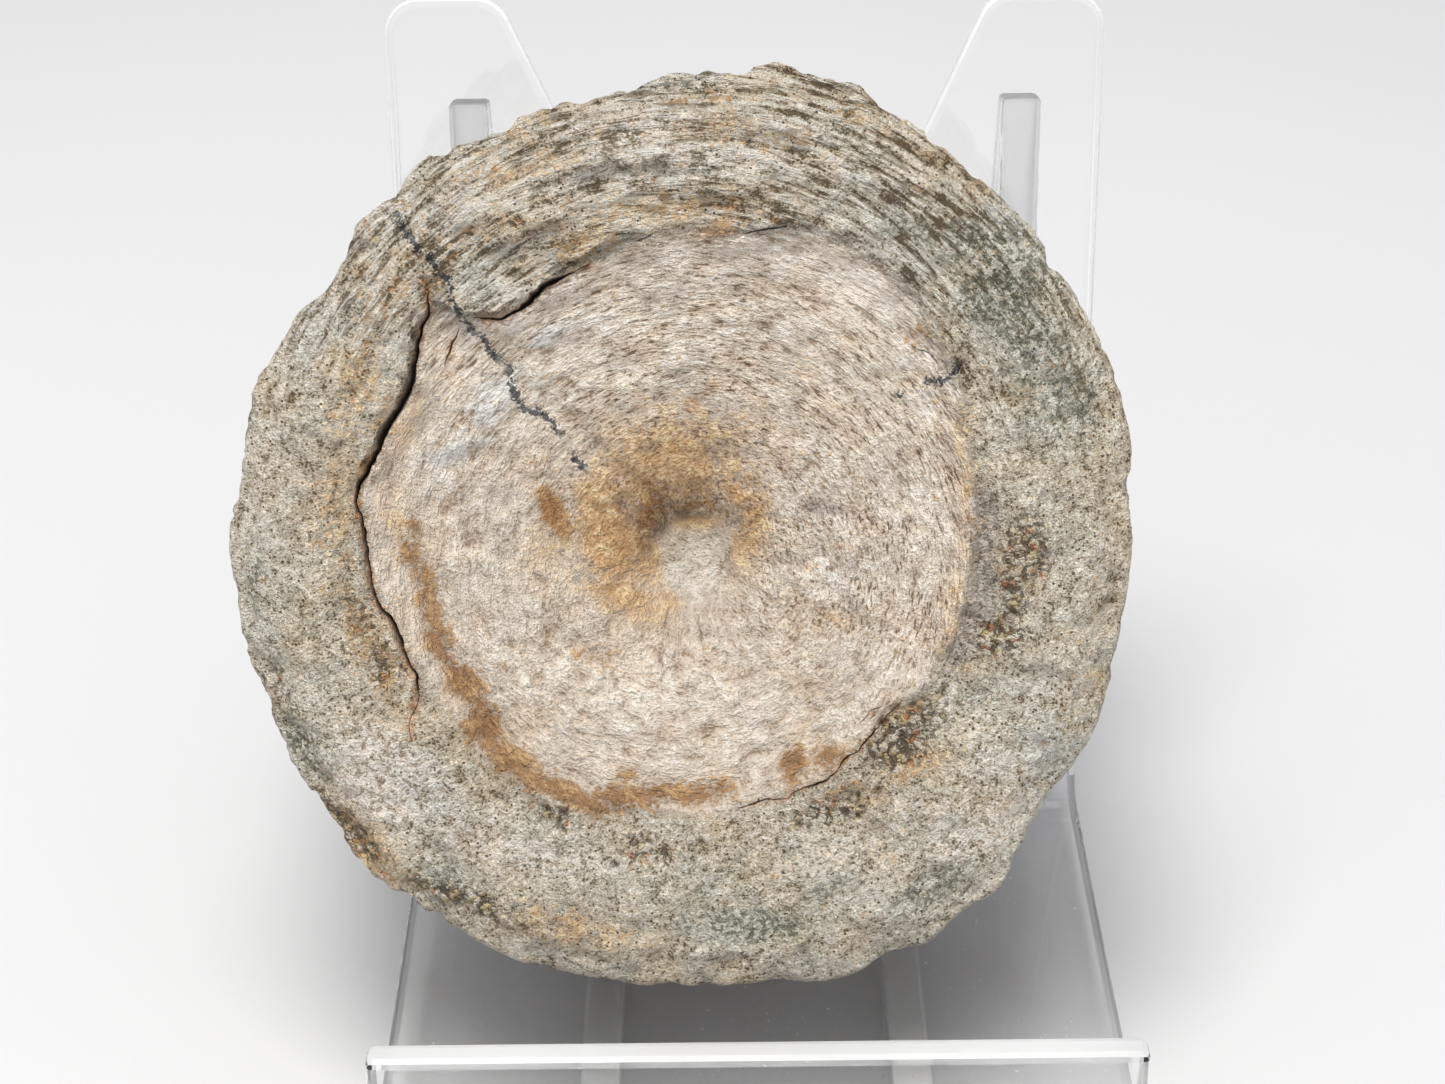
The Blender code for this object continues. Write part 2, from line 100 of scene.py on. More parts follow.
# How far the dish's edge stands up as a lip, by angle
DISH_LIP = (
    (0, 1.2), (30, 1.1), (50, 0.9), (80, 0.9), (115, 0.9), (150, 0.9), (205, 0.9), (235, 0.6), (290, 0.8),
    (330, 1.1),
)
DISH_LIP_WIDTH = 3.0
# Ring: share of the way from the dish's edge to the rim, and depth
RING = ((0, 1.5), (0.12, 1), (0.35, 0.25), (0.55, 0), (0.75, 0.2), (0.9, 0.8), (1, 1.5))
RING_LEVEL = 0.6                # share of the ring's inner slope that is missing at its upper left
RING_LEVEL_PLACE = (130.0, 80.0)
# Lumps and hollows on the ring: x, y, radius, height
LUMPS = (
    (33.4, -1.6, 2.4, 0.8), (31.2, -6.8, 2, 0.6), (30, -11.6, 2.2, 0.7), (33.6, -12, 1.8, 0.5),
    (27, -18.5, 2.4, -0.6), (22, -21.6, 2, -0.6), (17, -27, 2.2, 0.5), (24.5, 33, 2.8, 0.6),
    (9, 38, 3, 0.5), (-8, 36.5, 3.2, 0.6), (-21, 31.5, 2.6, 0.7), (-29.5, 22, 3, 0.6),
    (-35.5, 10.5, 3, 0.6), (-34.5, -3.5, 2.8, 0.7), (-37, -14.5, 2.6, -0.5), (-31.5, -21, 2.8, 0.6),
    (-24, -31, 3, -0.5), (-9.5, -35, 3.4, 0.6), (5.5, -36.5, 3, -0.5), (19, -36.5, 3.4, 0.6),
    (32, 21, 3.2, 0.6), (37.5, 8, 2.8, -0.5), (36, -19.5, 2.8, 0.5), (-26.8, 29.6, 2.4, -0.9),
)
RIDGE_STEP = 3.6
RIDGE_HEIGHT = 0.3
RIDGE_PLACE = (98.0, 34.0)      # middle angle and spread, as for the places below

# Small relief, in millimetres, and places around the rim: middle angle and spread
RING_COARSE = 0.55
RING_MEDIUM = 0.34
DISH_COARSE = 0.30
DISH_MEDIUM = 0.16
WALL_COARSE = 0.25
WALL_GRAIN = 0.35
PORE_DEPTH = 0.38
NOTCH_DEPTH = 1.1
TOP_WEAR = 0.74
SINK = 0.12                     # keeps the highest lumps within the fossil's size
HIGHEST = 0.28
LOWEST = -1.6
FOLD_GAIN = 1.3
LINED_PLACE = (100.0, 48.0)
NOTCHED_PLACE = (205.0, 45.0)
WORN_PLACE = (90.0, 45.0)

# Side wall and back
WAIST = 2.6
RIB_FACETS = ((226, 0.46), (304, 0.46))
RIB_FACET_HEIGHT = 2.6
RIB_FACET_CUP = 1.1
CANAL_ANGLE = 105.0
CANAL_DEPTH = 1.8
ARCH_FACET_OFFSET = 17.0
ARCH_FACET_HEIGHT = 1.5
ARCH_FACET_CUP = 1.0
BACK_RADIUS = 44.1
BACK_RADIUS_DOWN = 1.85
BACK_DISH_SHARE = 0.64
MIDDLE_DEPTH = 16.3             # between the floors of the two pits

# Cracks on the face: x, y, half width and depth along each
CRACKS = {
    "left": (
        (-23.7, 24.4, 0.05, 0.4), (-23.6, 22.5, 0.12, 0.9), (-23.5, 21.2, 0.16, 1.2),
        (-24.3, 19.5, 0.22, 1.6), (-24.8, 17.6, 0.34, 2.2), (-25.2, 15.5, 0.42, 2.6),
        (-25.7, 13.8, 0.42, 2.6), (-26.6, 12.2, 0.40, 2.6), (-27.6, 10.6, 0.44, 2.6),
        (-28.3, 9.2, 0.42, 2.6), (-29.2, 7.4, 0.40, 2.6), (-30, 5.9, 0.36, 2.4), (-30.8, 4.3, 0.28, 2.2),
        (-31, 3.2, 0.22, 1.8), (-30.5, 1.5, 0.24, 1.8), (-30.2, -1, 0.26, 1.8), (-29.9, -3, 0.20, 1.6),
        (-29.6, -5.2, 0.20, 1.6), (-29.2, -6.8, 0.24, 1.8), (-28, -8.4, 0.34, 2.2),
        (-27.4, -9.7, 0.32, 2.2), (-26.9, -11.2, 0.22, 1.8), (-26.3, -12.9, 0.20, 1.6),
        (-25.6, -14.2, 0.18, 1.6), (-25.6, -15.8, 0.14, 1.2), (-26.1, -17.6, 0.10, 0.9),
        (-26.5, -19, 0.07, 0.6), (-26.2, -20.8, 0.04, 0.4),
    ),
    "top": (
        (-19.3, 20.6, 0.06, 0.5), (-17.5, 20.4, 0.14, 1.2), (-15.6, 21, 0.20, 1.8),
        (-14.6, 21.6, 0.30, 2.4), (-13.5, 22.5, 0.38, 2.6), (-12.2, 23.6, 0.40, 2.6),
        (-11.2, 24.1, 0.28, 2.2), (-10.2, 24.5, 0.14, 1.4), (-9.3, 25, 0.07, 0.6), (-8.4, 25.4, 0.08, 0.5),
        (-7.6, 26, 0.04, 0.3),
    ),
    "small_left": (
        (-20.7, 19.5, 0.05, 0.4), (-21.4, 17.8, 0.12, 0.7), (-22.2, 16, 0.06, 0.4),
    ),
    "top_line": (
        (6, 28.1, 0.05, 0.3), (7.5, 28.4, 0.09, 0.6), (9, 28.6, 0.11, 0.7), (10.4, 28.8, 0.05, 0.3),
    ),
    "top_dash": (
        (-3.8, 27.6, 0.05, 0.4), (-3, 27.9, 0.07, 0.5), (-2.2, 28.3, 0.04, 0.3),
    ),
    "chip": (
        (22, 17.5, 0.05, 0.4), (22.8, 17.1, 0.12, 0.8), (23.6, 16.8, 0.12, 0.9), (24.3, 16.1, 0.10, 0.8),
        (24.7, 15.5, 0.05, 0.4),
    ),
    "side_chip": (
        (25.4, 13.9, 0.05, 0.4), (26.2, 13.5, 0.14, 0.8), (26.6, 12.8, 0.06, 0.4),
    ),
    "lower": (
        (4.9, -27.6, 0.05, 0.4), (6.5, -26.9, 0.10, 0.8), (8.2, -26.4, 0.12, 0.9), (9.6, -26.5, 0.09, 0.7),
        (10.6, -25.8, 0.08, 0.6), (11.8, -25.2, 0.09, 0.7), (13.1, -24.8, 0.14, 1),
        (14.3, -24.2, 0.09, 0.7), (15, -23.4, 0.08, 0.7), (15.7, -22.4, 0.15, 1), (16.8, -21.7, 0.08, 0.7),
        (17.8, -20.5, 0.10, 0.8), (18.5, -19.8, 0.14, 1), (19.4, -18.9, 0.12, 0.9),
        (20.1, -17.9, 0.12, 0.9), (21.3, -16.8, 0.05, 0.4),
    ),
    "flake": (
        (17.1, -19, 0.05, 0.3), (17.6, -18.4, 0.09, 0.5), (18.4, -17.7, 0.10, 0.6),
        (19.2, -17.2, 0.05, 0.3),
    ),
}
CRACK_STAINS = {"left": 1, "top": 0.9, "lower": 0.8, "small_left": 0.45, "flake": 0.6}
WORN_CRACKS = (("left", 0.18, 0.5), ("top", 0.15, 0.5), ("lower", 0.15, 0.5), ("chip", 0.15, 0.6))
CRACK_STEP = 0.3
CRACK_WANDER = 0.16
CRACK_RISE = 1.2

# Thin dark blue-grey veins
VEINS = (
    ((-26.6, 30.6), (-26, 29.7), (-25.2, 28.5), (-24.3, 26.9), (-23, 26.1), (-22.7, 24.9), (-21.5, 23.9),
     (-21.3, 22.8), (-20.9, 21.3), (-19.9, 20.2), (-19.4, 19.4), (-18.3, 18.4), (-17.5, 17), (-16.8, 16.1)),
    ((-16.1, 16.4), (-15.9, 14.9), (-15.6, 13.6), (-15.3, 12.6), (-14.6, 11.9), (-13.4, 11.6), (-12.6, 11),
     (-11.9, 10.4), (-11.8, 9.6), (-11.1, 9.3)),
    ((-10.2, 7.8), (-10, 6.9), (-8.7, 6.1)),
    ((20.4, 12.8), (21.6, 13)),
    ((22.9, 13.6), (23.6, 14.2), (24.8, 13.9), (25.7, 14.5), (26.6, 15.8)),
)
BROWN_BAND = (
    (-25.6, 1), (-25.8, -2), (-24.7, -4), (-24.2, -7), (-24, -10), (-22.6, -12.5), (-21, -14.5),
    (-19.6, -16.5), (-19, -19), (-18.3, -21.3), (-16, -23.8), (-12.8, -24.8), (-10, -26.3), (-7.5, -26.8),
    (-5, -26), (-1.5, -25.6), (1.5, -26), (3.8, -25.4), (5.4, -26.6),
)
# GREY_BAND is sunk in the relief and painted grey: partly the ring's own colour and partly painted shade
# below the dish's step. TAN_LIP is raised and painted tan, with some pale that is painted light on the lip
GREY_BAND = ((28.9, 5), (29.2, 0), (28.9, -5), (28, -9), (26.6, -12.5), (25.2, -14.6))
TAN_LIP = ((26.4, 13), (26.9, 8), (27.3, 3), (27.2, -2), (26.6, -6), (25.6, -10), (24.2, -13.2))

BAND_FADE = 3.0                 # how softly the bands end

# Stains, with some patches of painted light and shade among them: x, y, reach along, reach across, turn in
# degrees, strength
OCHRE = (
    (-2.7, -2.6, 1.1, 3.4, 6, 1), (1.4, 1, 3.6, 1.2, 0, 1), (5.6, -1.4, 1.2, 3.4, -12, 0.9),
    (-1.2, -6.6, 2.2, 1.2, -35, 0.8), (6, 37.5, 9, 2, -8, 0.6), (-14, 34.5, 8, 1.6, 20, 0.6),
    (-9, 27.6, 6, 1.6, 26, 0.7), (-1, 6.4, 8.6, 5.6, 0, 1.05), (-6.8, 0.2, 3.8, 7.4, 10, 1.25),
    (-5.4, -6.4, 5.6, 2.2, -25, 1), (-3.6, -3.2, 0.8, 2.6, 12, 1.1), (1.5, 8.5, 2.6, 4, 12, 0.8),
    (6.8, 0.6, 1.8, 5, -10, 1), (6.2, 3, 3, 5.5, 10, 0.65), (5.5, 9.5, 4, 2.6, 30, 0.6),
    (-0.5, -8, 3.5, 1.4, 0, 0.35), (14.5, -8.6, 2.4, 0.7, -30, 0.7), (12, -3.4, 0.9, 0.8, 0, 0.6),
    (15.2, -1.7, 2, 0.5, -8, 0.6), (-13, -1.5, 2.5, 3.5, 0, 0.45), (-25.5, 11, 1.4, 5, -20, 0.55),
    (-27.5, 2, 1.8, 4.5, 8, 0.6), (-30.6, 14, 3, 7, -12, 0.65), (-33, 2, 2.6, 7, 0, 0.6),
    (-31, -9, 2.4, 5.5, 15, 0.75), (-28.8, -13.5, 1.8, 4, 15, 0.75), (-16, 35.5, 10, 4, 25, 0.42),
    (-27, 23.5, 4, 7, -38, 0.45), (0, 30.6, 13, 2.2, 2, 0.6), (-18, 29, 7, 3, 30, 0.45),
    (-12, -39, 8, 2.2, -12, 0.7), (-31.5, -30, 6, 2.2, -48, 1), (33, -3, 2, 4, 0, 0.45),
    (21.5, -23, 4, 2.6, 20, 0.8), (17.6, -26.4, 3, 1.6, 20, 0.6), (40.5, -15, 1.4, 4, 15, 0.5),
    (14, -33, 9, 1.5, 10, 0.25), (12, 14, 6, 4, -40, 0.3), (-10, 9, 6, 2, 30, 0.3),
    (-22, 15, 2, 4, -25, 0.35), (17, 39, 8, 1.6, -20, 0.5), (-25, 36, 5, 1.2, 38, 0.5),
    (28, 33, 4, 1.4, -48, 0.35),
)
# Those on the pit's upper-left wall, at (-2.6, 1.2), (1.4, 2.4), (-3.4, -0.8) and (-2.5, 2.5), are partly
# brown stain and partly painted shade
BROWN = (
    (-2.6, 1.2, 2.6, 1.5, 48, 1), (1.4, 2.4, 2.8, 1, 4, 0.8), (-3.4, -0.8, 0.9, 2, -8, 0.8),
    (4.6, 1.6, 1.6, 0.8, -40, 0.5), (-1, 6, 3, 0.8, 12, 0.3), (-4.6, 4, 0.8, 2.6, -42, 0.35),
    (-12.3, 2.2, 1.5, 2.6, 8, 1.15), (-11.2, 0.4, 1.6, 1.4, 0, 0.8), (-25.4, 0.5, 0.9, 3, 6, 0.7),
    (-24.6, -5, 1.1, 3.2, -8, 0.8), (-23.2, -10, 1.4, 3, 20, 0.9), (-21, -14.6, 2, 2.8, 35, 1.2),
    (-19.2, -18.6, 2.2, 2.6, 10, 1.2), (-16.6, -22.4, 2.8, 1.8, -42, 1.1), (-12, -25.2, 3.2, 1.4, -18, 1.1),
    (-7, -26, 3, 1.5, 8, 1), (-5.6, -24, 2, 1.2, 30, 0.7), (-1, -25.4, 3, 1.1, -6, 0.9),
    (3.5, -25.2, 2.4, 1.1, 12, 0.9), (10.6, -23, 1.6, 2.2, 0, 1.1), (14.2, -22.2, 2.2, 1.6, 10, 1),
    (2.5, -25.2, 3.2, 0.9, 8, 0.7), (-8.2, -11.8, 3.6, 1.8, -25, 0.55), (-26.6, 31.8, 2.6, 1.4, 42, 0.25),
    (22.2, 18.6, 2, 1.2, -32, 0.65), (-17.2, -21.6, 2.4, 1.6, -40, 0.6), (-20, -18, 1.8, 2.4, 20, 0.6),
    (18.8, -18.2, 1.6, 1, 40, 0.5), (-2.5, 2.5, 3, 2, 35, 0.7), (33, 31.2, 3, 0.9, -50, 0.5),
    (0.5, 40.8, 9, 0.9, 3, 0.4), (-5, 33.6, 7, 0.8, 5, 0.35),
)
RUST = (
    (-12.3, 2, 1.3, 2.3, 8, 0.9), (-3.4, 2.2, 2.6, 0.8, 46, 0.8), (-5.2, -1.5, 0.7, 2.8, -4, 0.7),
    (0.5, 4, 2.8, 0.6, 4, 0.7), (5.4, 3.6, 1, 1.6, 30, 1), (2.4, 13.2, 2.3, 0.7, 28, 1),
    (1.2, 12.2, 0.9, 1.1, 0, 0.8), (3.6, 28.6, 2.4, 1.1, 10, 1.15), (5.8, 4.6, 0.6, 1.3, -35, 0.9),
    (5.2, 32, 0.3, 2.2, 0, 0.8), (-5.6, 27.5, 1, 0.35, 25, 0.9), (-17.8, 20.3, 1.3, 0.5, 0, 0.8),
    (-21.4, 17.8, 0.5, 1.6, -20, 0.8), (23, -17, 0.9, 0.5, 10, 1), (22.4, -18.8, 0.5, 0.9, -20, 0.9),
    (19, -21.4, 1.2, 0.4, 5, 1), (16.4, -24.7, 0.8, 0.35, 0, 1), (12.8, -26.5, 0.7, 0.4, 0, 0.9),
    (11.5, 44.2, 2.6, 1, -8, 1.1), (-31.9, -2, 0.8, 0.4, 0, 1), (-29.9, -4, 0.5, 1.6, 0, 0.9),
    (-17.3, -13.1, 0.9, 0.5, -10, 0.7), (25, 12.6, 0.9, 0.5, 20, 0.6), (-28.6, 25, 2.2, 0.7, 10, 0.6),
    (-26, 37.5, 2.4, 0.7, 38, 0.8), (-29, 31, 1.4, 0.7, 45, 0.6), (-28.4, 11.2, 0.6, 2.6, -30, 0.8),
    (-30.3, 6.4, 0.6, 1.6, -25, 0.9), (31.5, -27, 1.2, 0.6, 30, 0.5),
)
GREEN = (
    (29, 27, 4.5, 4, 0, 1.1), (33.5, 17.5, 4, 6.5, -10, 1), (38.5, 12, 2.4, 6, 0, 0.9),
    (31, 22.5, 7, 6, 0, 1), (36, 13, 4.5, 7, 0, 0.8), (22, 28.4, 4, 2.2, -20, 0.75),
    (13.5, 31, 5, 1.4, 0, 0.7), (17, 36.5, 5, 2, -20, 0.6), (37, 1, 4.5, 6, 0, 0.5),
    (-41, -4.5, 1.6, 4.5, 0, 0.85), (-41.4, 11, 1.4, 4, -10, 0.8), (-37, -20.5, 2.6, 6, 35, 0.9),
    (-24, -34.5, 6, 2.2, -30, 0.8), (6, -39, 10, 2.4, 0, 1.05), (24, -35.5, 7, 2.2, 30, 0.9),
    (35, -20, 5, 7, -20, 0.6), (-38.5, -12, 2.2, 5, 12, 0.5), (-33, -8, 3, 6, 8, 0.35),
    (-32, 17, 3, 6, -15, 0.3), (13.5, -28.2, 4.5, 1.6, 15, 0.5), (28.5, -16, 4, 3, -20, 0.65),
    (3, -34.5, 6, 1.2, 38, 0.8), (13, -36, 5, 1.2, 35, 0.8), (2, 33.5, 12, 2, 0, 0.15),
    (-13, -28, 5, 1.4, -10, 0.5),
)
# (-14, 14) is painted light on the dish's upper-left slope, which faces away from the light
# (1.4, -3.2) whitens the pit's floor: partly its pale colour and partly painted light
PALE = (
    (-33.5, 4, 3, 8, 0, 0.5), (-27.5, 31.5, 4, 3, 40, 1.2), (-39.8, 4, 2.2, 9, -4, 0.5),
    (-4, 36, 14, 4, 6, 1.05), (-20, 32, 7, 3, 38, 0.9), (-2, -14.5, 11, 5.5, 0, 0.7),
    (-13, -12.5, 5, 3.4, -20, 0.7), (16.8, 22.2, 4, 3.2, 0, 1.5), (-14, 14, 8, 6, 45, 0.5),
    (-29.5, -23.5, 6, 4.5, -40, 1.6), (-17.5, 32, 6, 1.8, 24, 0.7), (-7, 39.5, 7, 1.2, 8, 0.5),
    (28, -31, 9, 3, 42, 0.85), (1.4, -3.2, 2.5, 2.7, 0, 1.9), (-18.3, -15.6, 1.6, 0.8, 0, 0.8),
    (22.8, 15.4, 1.8, 1.2, -20, 0.8), (20, 13.4, 2.2, 0.6, 8, 0.7), (8, 26.4, 7, 0.9, 0, 0.5),
    (-20, 7, 4, 1.2, 20, 0.6), (-14, -32, 8, 2.4, -12, 0.9), (14, -32.5, 7, 1.8, 14, 0.8),
    (30, -24, 3, 7, -35, 0.7), (-36, 7, 2.4, 5, 0, 0.3), (-19.5, 27.5, 2, 3, 0, 0.4),
    (12, 24, 5, 2, 0, 0.4), (-33.5, 24, 2.2, 4.5, -40, 0.4), (5, -20, 10, 2, 8, 0.3),
    (23, -7, 2.6, 6, 0, 0.3),
)
COOL = (
    (-18, 12.4, 4.2, 1.8, 46, 1.35), (-21.5, 7.9, 4.2, 1.2, 20, 1.2), (-12.4, 18.8, 3, 1, 26, 1.2),
    (-22.5, 4, 2.5, 3, 0, 0.5), (30, 30, 3, 2, -45, 0.5), (-8, 20, 5, 2, 15, 0.4),
    (6.6, 21.7, 1.2, 0.5, -20, 0.8), (-34, 20, 2.4, 6, -25, 0.5), (14.4, -4.6, 2.6, 0.7, -48, 0.8),
    (35, -22, 5, 8, -25, 0.65), (-24.5, -25.5, 5, 2.4, -35, 0.8),
)
# (15, -14) is painted shade on the dish's lower-right slope, which faces the light
# (16.4, -7.2) and (13.4, 2.1) are painted shade along the folds right of the pit
GREY = (
    (15, -14, 8, 4.5, 50, 0.45), (17, 9, 5, 7, 0, 0.3), (16.4, -7.2, 2.4, 0.8, -45, 0.9),
    (16.2, -3.6, 1.4, 0.6, -25, 0.8), (8, 24.3, 3, 0.6, 0, 0.7), (3, 23.3, 6, 0.8, 4, 0.4),
    (-12, 20.4, 3, 0.5, 25, 0.7), (13.4, 2.1, 2.2, 0.9, -12, 1.2), (-16.8, -8.6, 1.8, 2.6, 0, 0.4),
    (19, -10.4, 2.4, 0.5, -10, 0.6), (-5.6, -0.8, 0.8, 2, 5, 0.5), (-7, 17.5, 1.6, 0.6, 25, 0.5),
    (17, 17, 1.6, 1, -40, 0.4), (-24.5, -16.5, 1.6, 0.8, -35, 0.6), (22.5, 21.8, 1.2, 0.9, -35, 0.8),
    (27, 16, 0.9, 0.8, 45, 0.7), (-22, 2.6, 1.6, 1.6, 0, 0.35),
)
# Dark patches; those at (-1.9, 0.3), (0.9, 1.6) and (-3, -1.6) on the pit's upper-left wall are partly dark
# stain and partly painted shade
DARK_PATCHES = (
    (30.2, -9.2, 1.8, 0.7, 28, 1), (30.6, -4, 0.7, 3.6, 0, 0.6), (-14, -26.4, 3.4, 0.9, -32, 0.8),
    (-9, -28, 3.6, 0.6, -8, 0.7), (22.6, -17.4, 2.6, 1.4, 30, 0.9), (16, -25.8, 4.4, 1.4, 18, 0.8),
    (20, -21.6, 3.2, 1.8, 42, 0.9), (-28, 32.4, 2.6, 0.8, 44, 0.1), (-25.2, 29.4, 0.9, 1.2, 0, 0.6),
    (-17.5, -15.3, 0.4, 0.4, 0, 1), (23.7, 18.6, 0.5, 0.8, 0, 0.8), (27.5, -13.6, 1.6, 0.7, -40, 0.5),
    (-1.9, 0.3, 2.2, 0.9, 50, 0.95), (0.9, 1.6, 2.8, 0.7, 2, 0.95), (-3, -1.6, 0.5, 1.6, 6, 0.6),
    (-16.6, -24.2, 1.2, 0.6, -30, 0.8), (-30, -12, 2.2, 3.2, 10, 0.4), (33.6, 29.6, 2.6, 0.6, -50, 0.6),
    (19.8, -26, 2.4, 0.8, 10, 0.5), (25.5, 35, 1.6, 0.6, -40, 0.7), (-8.6, 43, 3, 0.5, 5, 0.6),
)

# Crumbly matrix left on the bone, and small chips, as the stains are given
LUMPY = (
    (21, -20.5, 3.2, 5.2, -42, 1.1), (-31, -8, 2, 7, 10, 0.55), (-30.2, 6, 1.5, 6, -15, 0.4),
    (-21, -36.5, 8, 2.2, -27, 0.7), (-38.5, -17, 2.2, 7, 22, 0.5), (-3, -31.5, 9, 2.4, 0, 0.55),
    (31.8, -6.5, 1.6, 6.5, 4, 0.9), (-32.5, -29, 6.5, 1.8, -49, 0.8), (33, -2.5, 2.6, 4.6, 0, 1),
    (30.5, -11, 3, 2.6, 0, 0.9), (22, -19.5, 4, 2.4, 30, 1), (-29, -13, 2.6, 4, 15, 0.6),
    (14, -27.8, 5, 1.8, 14, 0.9), (-13, -27.5, 5, 1.5, -14, 0.7),
)
CHIPPED = (
    (22.6, 17.7, 2, 0.7, -28, 0.35), (-17.4, -15.2, 0.5, 0.5, 0, 0.3), (-26.5, 31, 3, 1.2, 44, 0.5),
    (24, 23, 1.6, 1, -40, 0.3), (26.8, 15.4, 1.2, 0.8, 50, 0.3),
)

# Folds in the dish, given the same way with their height in millimetres
FOLDS = (
    (-20.5, 8.8, 3.8, 0.8, 20, 0.35), (-21, 6.7, 3.2, 0.8, 20, -0.30), (-17.5, 12.4, 3.8, 0.9, 42, 0.35),
    (-16.2, 10.4, 3.2, 0.8, 42, -0.30), (-12.4, 19.2, 3, 0.8, 24, 0.32), (-11, 17.3, 3.4, 0.8, 24, -0.25),
    (15.8, -2.6, 2.8, 0.7, -58, 0.30), (14.4, -4.2, 3, 0.7, -54, -0.40), (17.4, -5.2, 2.6, 0.7, -52, -0.35),
    (12.6, -6.4, 2.6, 0.8, -46, 0.30), (18.6, -8.2, 2.6, 0.7, -30, 0.25), (13.6, 1.6, 2.4, 0.8, -10, -0.35),
    (-9.5, -11, 4, 1, -28, -0.25), (-5, 13.5, 4.5, 0.9, 14, 0.22), (-4, 11.4, 4.5, 0.9, 14, -0.22),
    (8, -15.5, 7, 1, 24, 0.18), (10, -18, 7, 0.9, 26, -0.18), (-12, -17, 5, 1.2, -30, 0.2),
    (19, 14.4, 3, 0.8, 10, -0.25), (20.5, 16.4, 2.6, 1.2, -20, 0.3), (2, 22, 8, 1, 2, -0.2),
)

# Front view's spokes and the mesh's steps
SPOKES = 640
FRONT_STEP = 0.4
WALL_STEP = 0.75
BACK_STEP = 0.8
PIT_REACH = 11.4
DISH_REACH = 29.0
FACE_REACH = 43.0
BACK_SINK = 1.2                 # how much shallower the back's dish is
PANEL_NORMAL = Vector((0.0, -cos(radians(15.3)), sin(radians(15.3))))
PRONG_FOOT = 40.0 * MM
LIP_INSIDE = -42.5 * MM
SHEET_TINT = (0.84, 0.92, 1.0)
SHEET_DENSITY = 3.0
EDGE_HAZE = 0.4                 # share of light the sawn edges scatter instead of letting through
LIP_FOOT = 11.0 * MM
FLOOR_LEVEL = -0.2 * MM         # a hair under the feet, which lie flat on it
MIDDLE = (0.0, 0.0, 0.05)
KEY_PLACE = (-0.08, -0.16, 0.88)
KEY_SIZE = (0.42, 0.36)
KEY_WATTS = 9.5
KEY_TINT = (1.0, 0.985, 0.955)
FRONT_GLOW = 1.18               # strength of the room's light from the front
BACK_GLOW = 0.30
EXPOSURE = -0.2
LIGHT_BOUNCES = 20              # light turns many corners inside the clear sheet


def smooth_through(places, values, where):
    """Smooth line through the given points that doesn't overshoot them."""
    step = np.diff(places)
    rise = np.diff(values) / step
    slope = np.zeros(len(places))
    slope[0], slope[-1] = rise[0], rise[-1]
    same_way = rise[:-1] * rise[1:] > 0.0
    total = np.where(same_way, rise[:-1] + rise[1:], 1.0)
    slope[1:-1] = np.where(same_way, 2.0 * rise[:-1] * rise[1:] / total, 0.0)
    where = np.clip(where, places[0], places[-1])
    i = np.clip(np.searchsorted(places, where, side="right") - 1, 0, len(step) - 1)
    t = (where - places[i]) / step[i]
    start = values[i] + step[i] * slope[i] * t
    end = values[i + 1] - step[i] * slope[i + 1] * (1.0 - t)
    share = t * t * (3.0 - 2.0 * t)
    return start * (1.0 - share) + end * share


def along(points, where):
    return smooth_through(*np.array(points, float).T, where)


def around(points, degrees):
    """Value at each angle, from (angle, value) points that close on themselves."""
    places, values = np.array(points, float).T
    places = np.concatenate(([places[-1] - 360.0], places, places[:2] + 360.0))
    values = np.concatenate((values[-1:], values, values[:2]))
    return smooth_through(places, values, np.mod(degrees, 360.0))


def smooth_step(low, high, value):
    share = np.clip((value - low) / (high - low), 0.0, 1.0)
    return share * share * (3.0 - 2.0 * share)


def angle_between(a, b):
    return (a - b + 180.0) % 360.0 - 180.0


def fading(degrees, middle, spread):
    """One at the middle angle, and less to both sides of it."""
    return np.exp(-(angle_between(degrees, middle) / spread) ** 2)


def polar(degrees, radius, centre=(0.0, 0.0)):
    turn = np.radians(degrees)
    return centre[0] + radius * np.cos(turn), centre[1] + radius * np.sin(turn)


def widest_radius(degrees):
    return around(RIM, degrees) + RIM_FLARE - RIM_FLARE_DOWN * np.sin(np.radians(degrees))


def face_radius(degrees):
    """Edge of the face, where it turns over into the rim."""
    return widest_radius(degrees) - BEVEL


def face_height(x, y):
    """Height of the front surface, zero at the crest of the ring."""
    degrees = np.degrees(np.arctan2(y, x))
    radius = np.hypot(x, y)
    edge = around(DISH_EDGE, degrees)
    outer = face_radius(degrees)
    from_pit = pit_distance(x, y)
    spread = DISH_SPAN * from_pit / (from_pit + np.maximum(edge - radius, 0.0) + 1e-6)
    lip = around(DISH_LIP, degrees) * smooth_step(edge - DISH_LIP_WIDTH, edge - 0.4, radius)
    dish = -along(DISH, spread) + lip
    share = (radius - edge) / (outer - edge)
    level = RING_LEVEL * fading(degrees, *RING_LEVEL_PLACE)
    ring = -along(RING, share) * (1.0 - level * smooth_step(0.45, 0.0, share))
    ridges = RIDGE_HEIGHT * np.cos(2 * pi * radius / RIDGE_STEP) * fading(degrees, *RIDGE_PLACE)
    ring = ring + ridges * smooth_step(0.05, 0.3, share)
    step = smooth_step(edge - 0.1, edge + 0.8, radius)
    height = dish * (1.0 - step) + ring * step
    for lump_x, lump_y, size, rise in LUMPS:
        height = height + rise * np.exp(-((x - lump_x) ** 2 + (y - lump_y) ** 2) / size ** 2)
    return height


def back_depth(x, y):
    """Depth of the back rim's plane below the face."""
    return THICKNESS + BACK_TILT_X * x + BACK_TILT_Y * (y + 45.0)


def back_radius(degrees):
    wobble = 0.35 * np.sin(np.radians(5 * degrees + 40.0)) + 0.25 * np.sin(np.radians(11 * degrees))
    return BACK_RADIUS - BACK_RADIUS_DOWN * np.sin(np.radians(degrees)) + wobble


def bump(degrees, share, at_degrees, at_share, spread_degrees, spread_share):
    return np.exp(-(angle_between(degrees, at_degrees) / spread_degrees) ** 2
                  - ((share - at_share) / spread_share) ** 2)


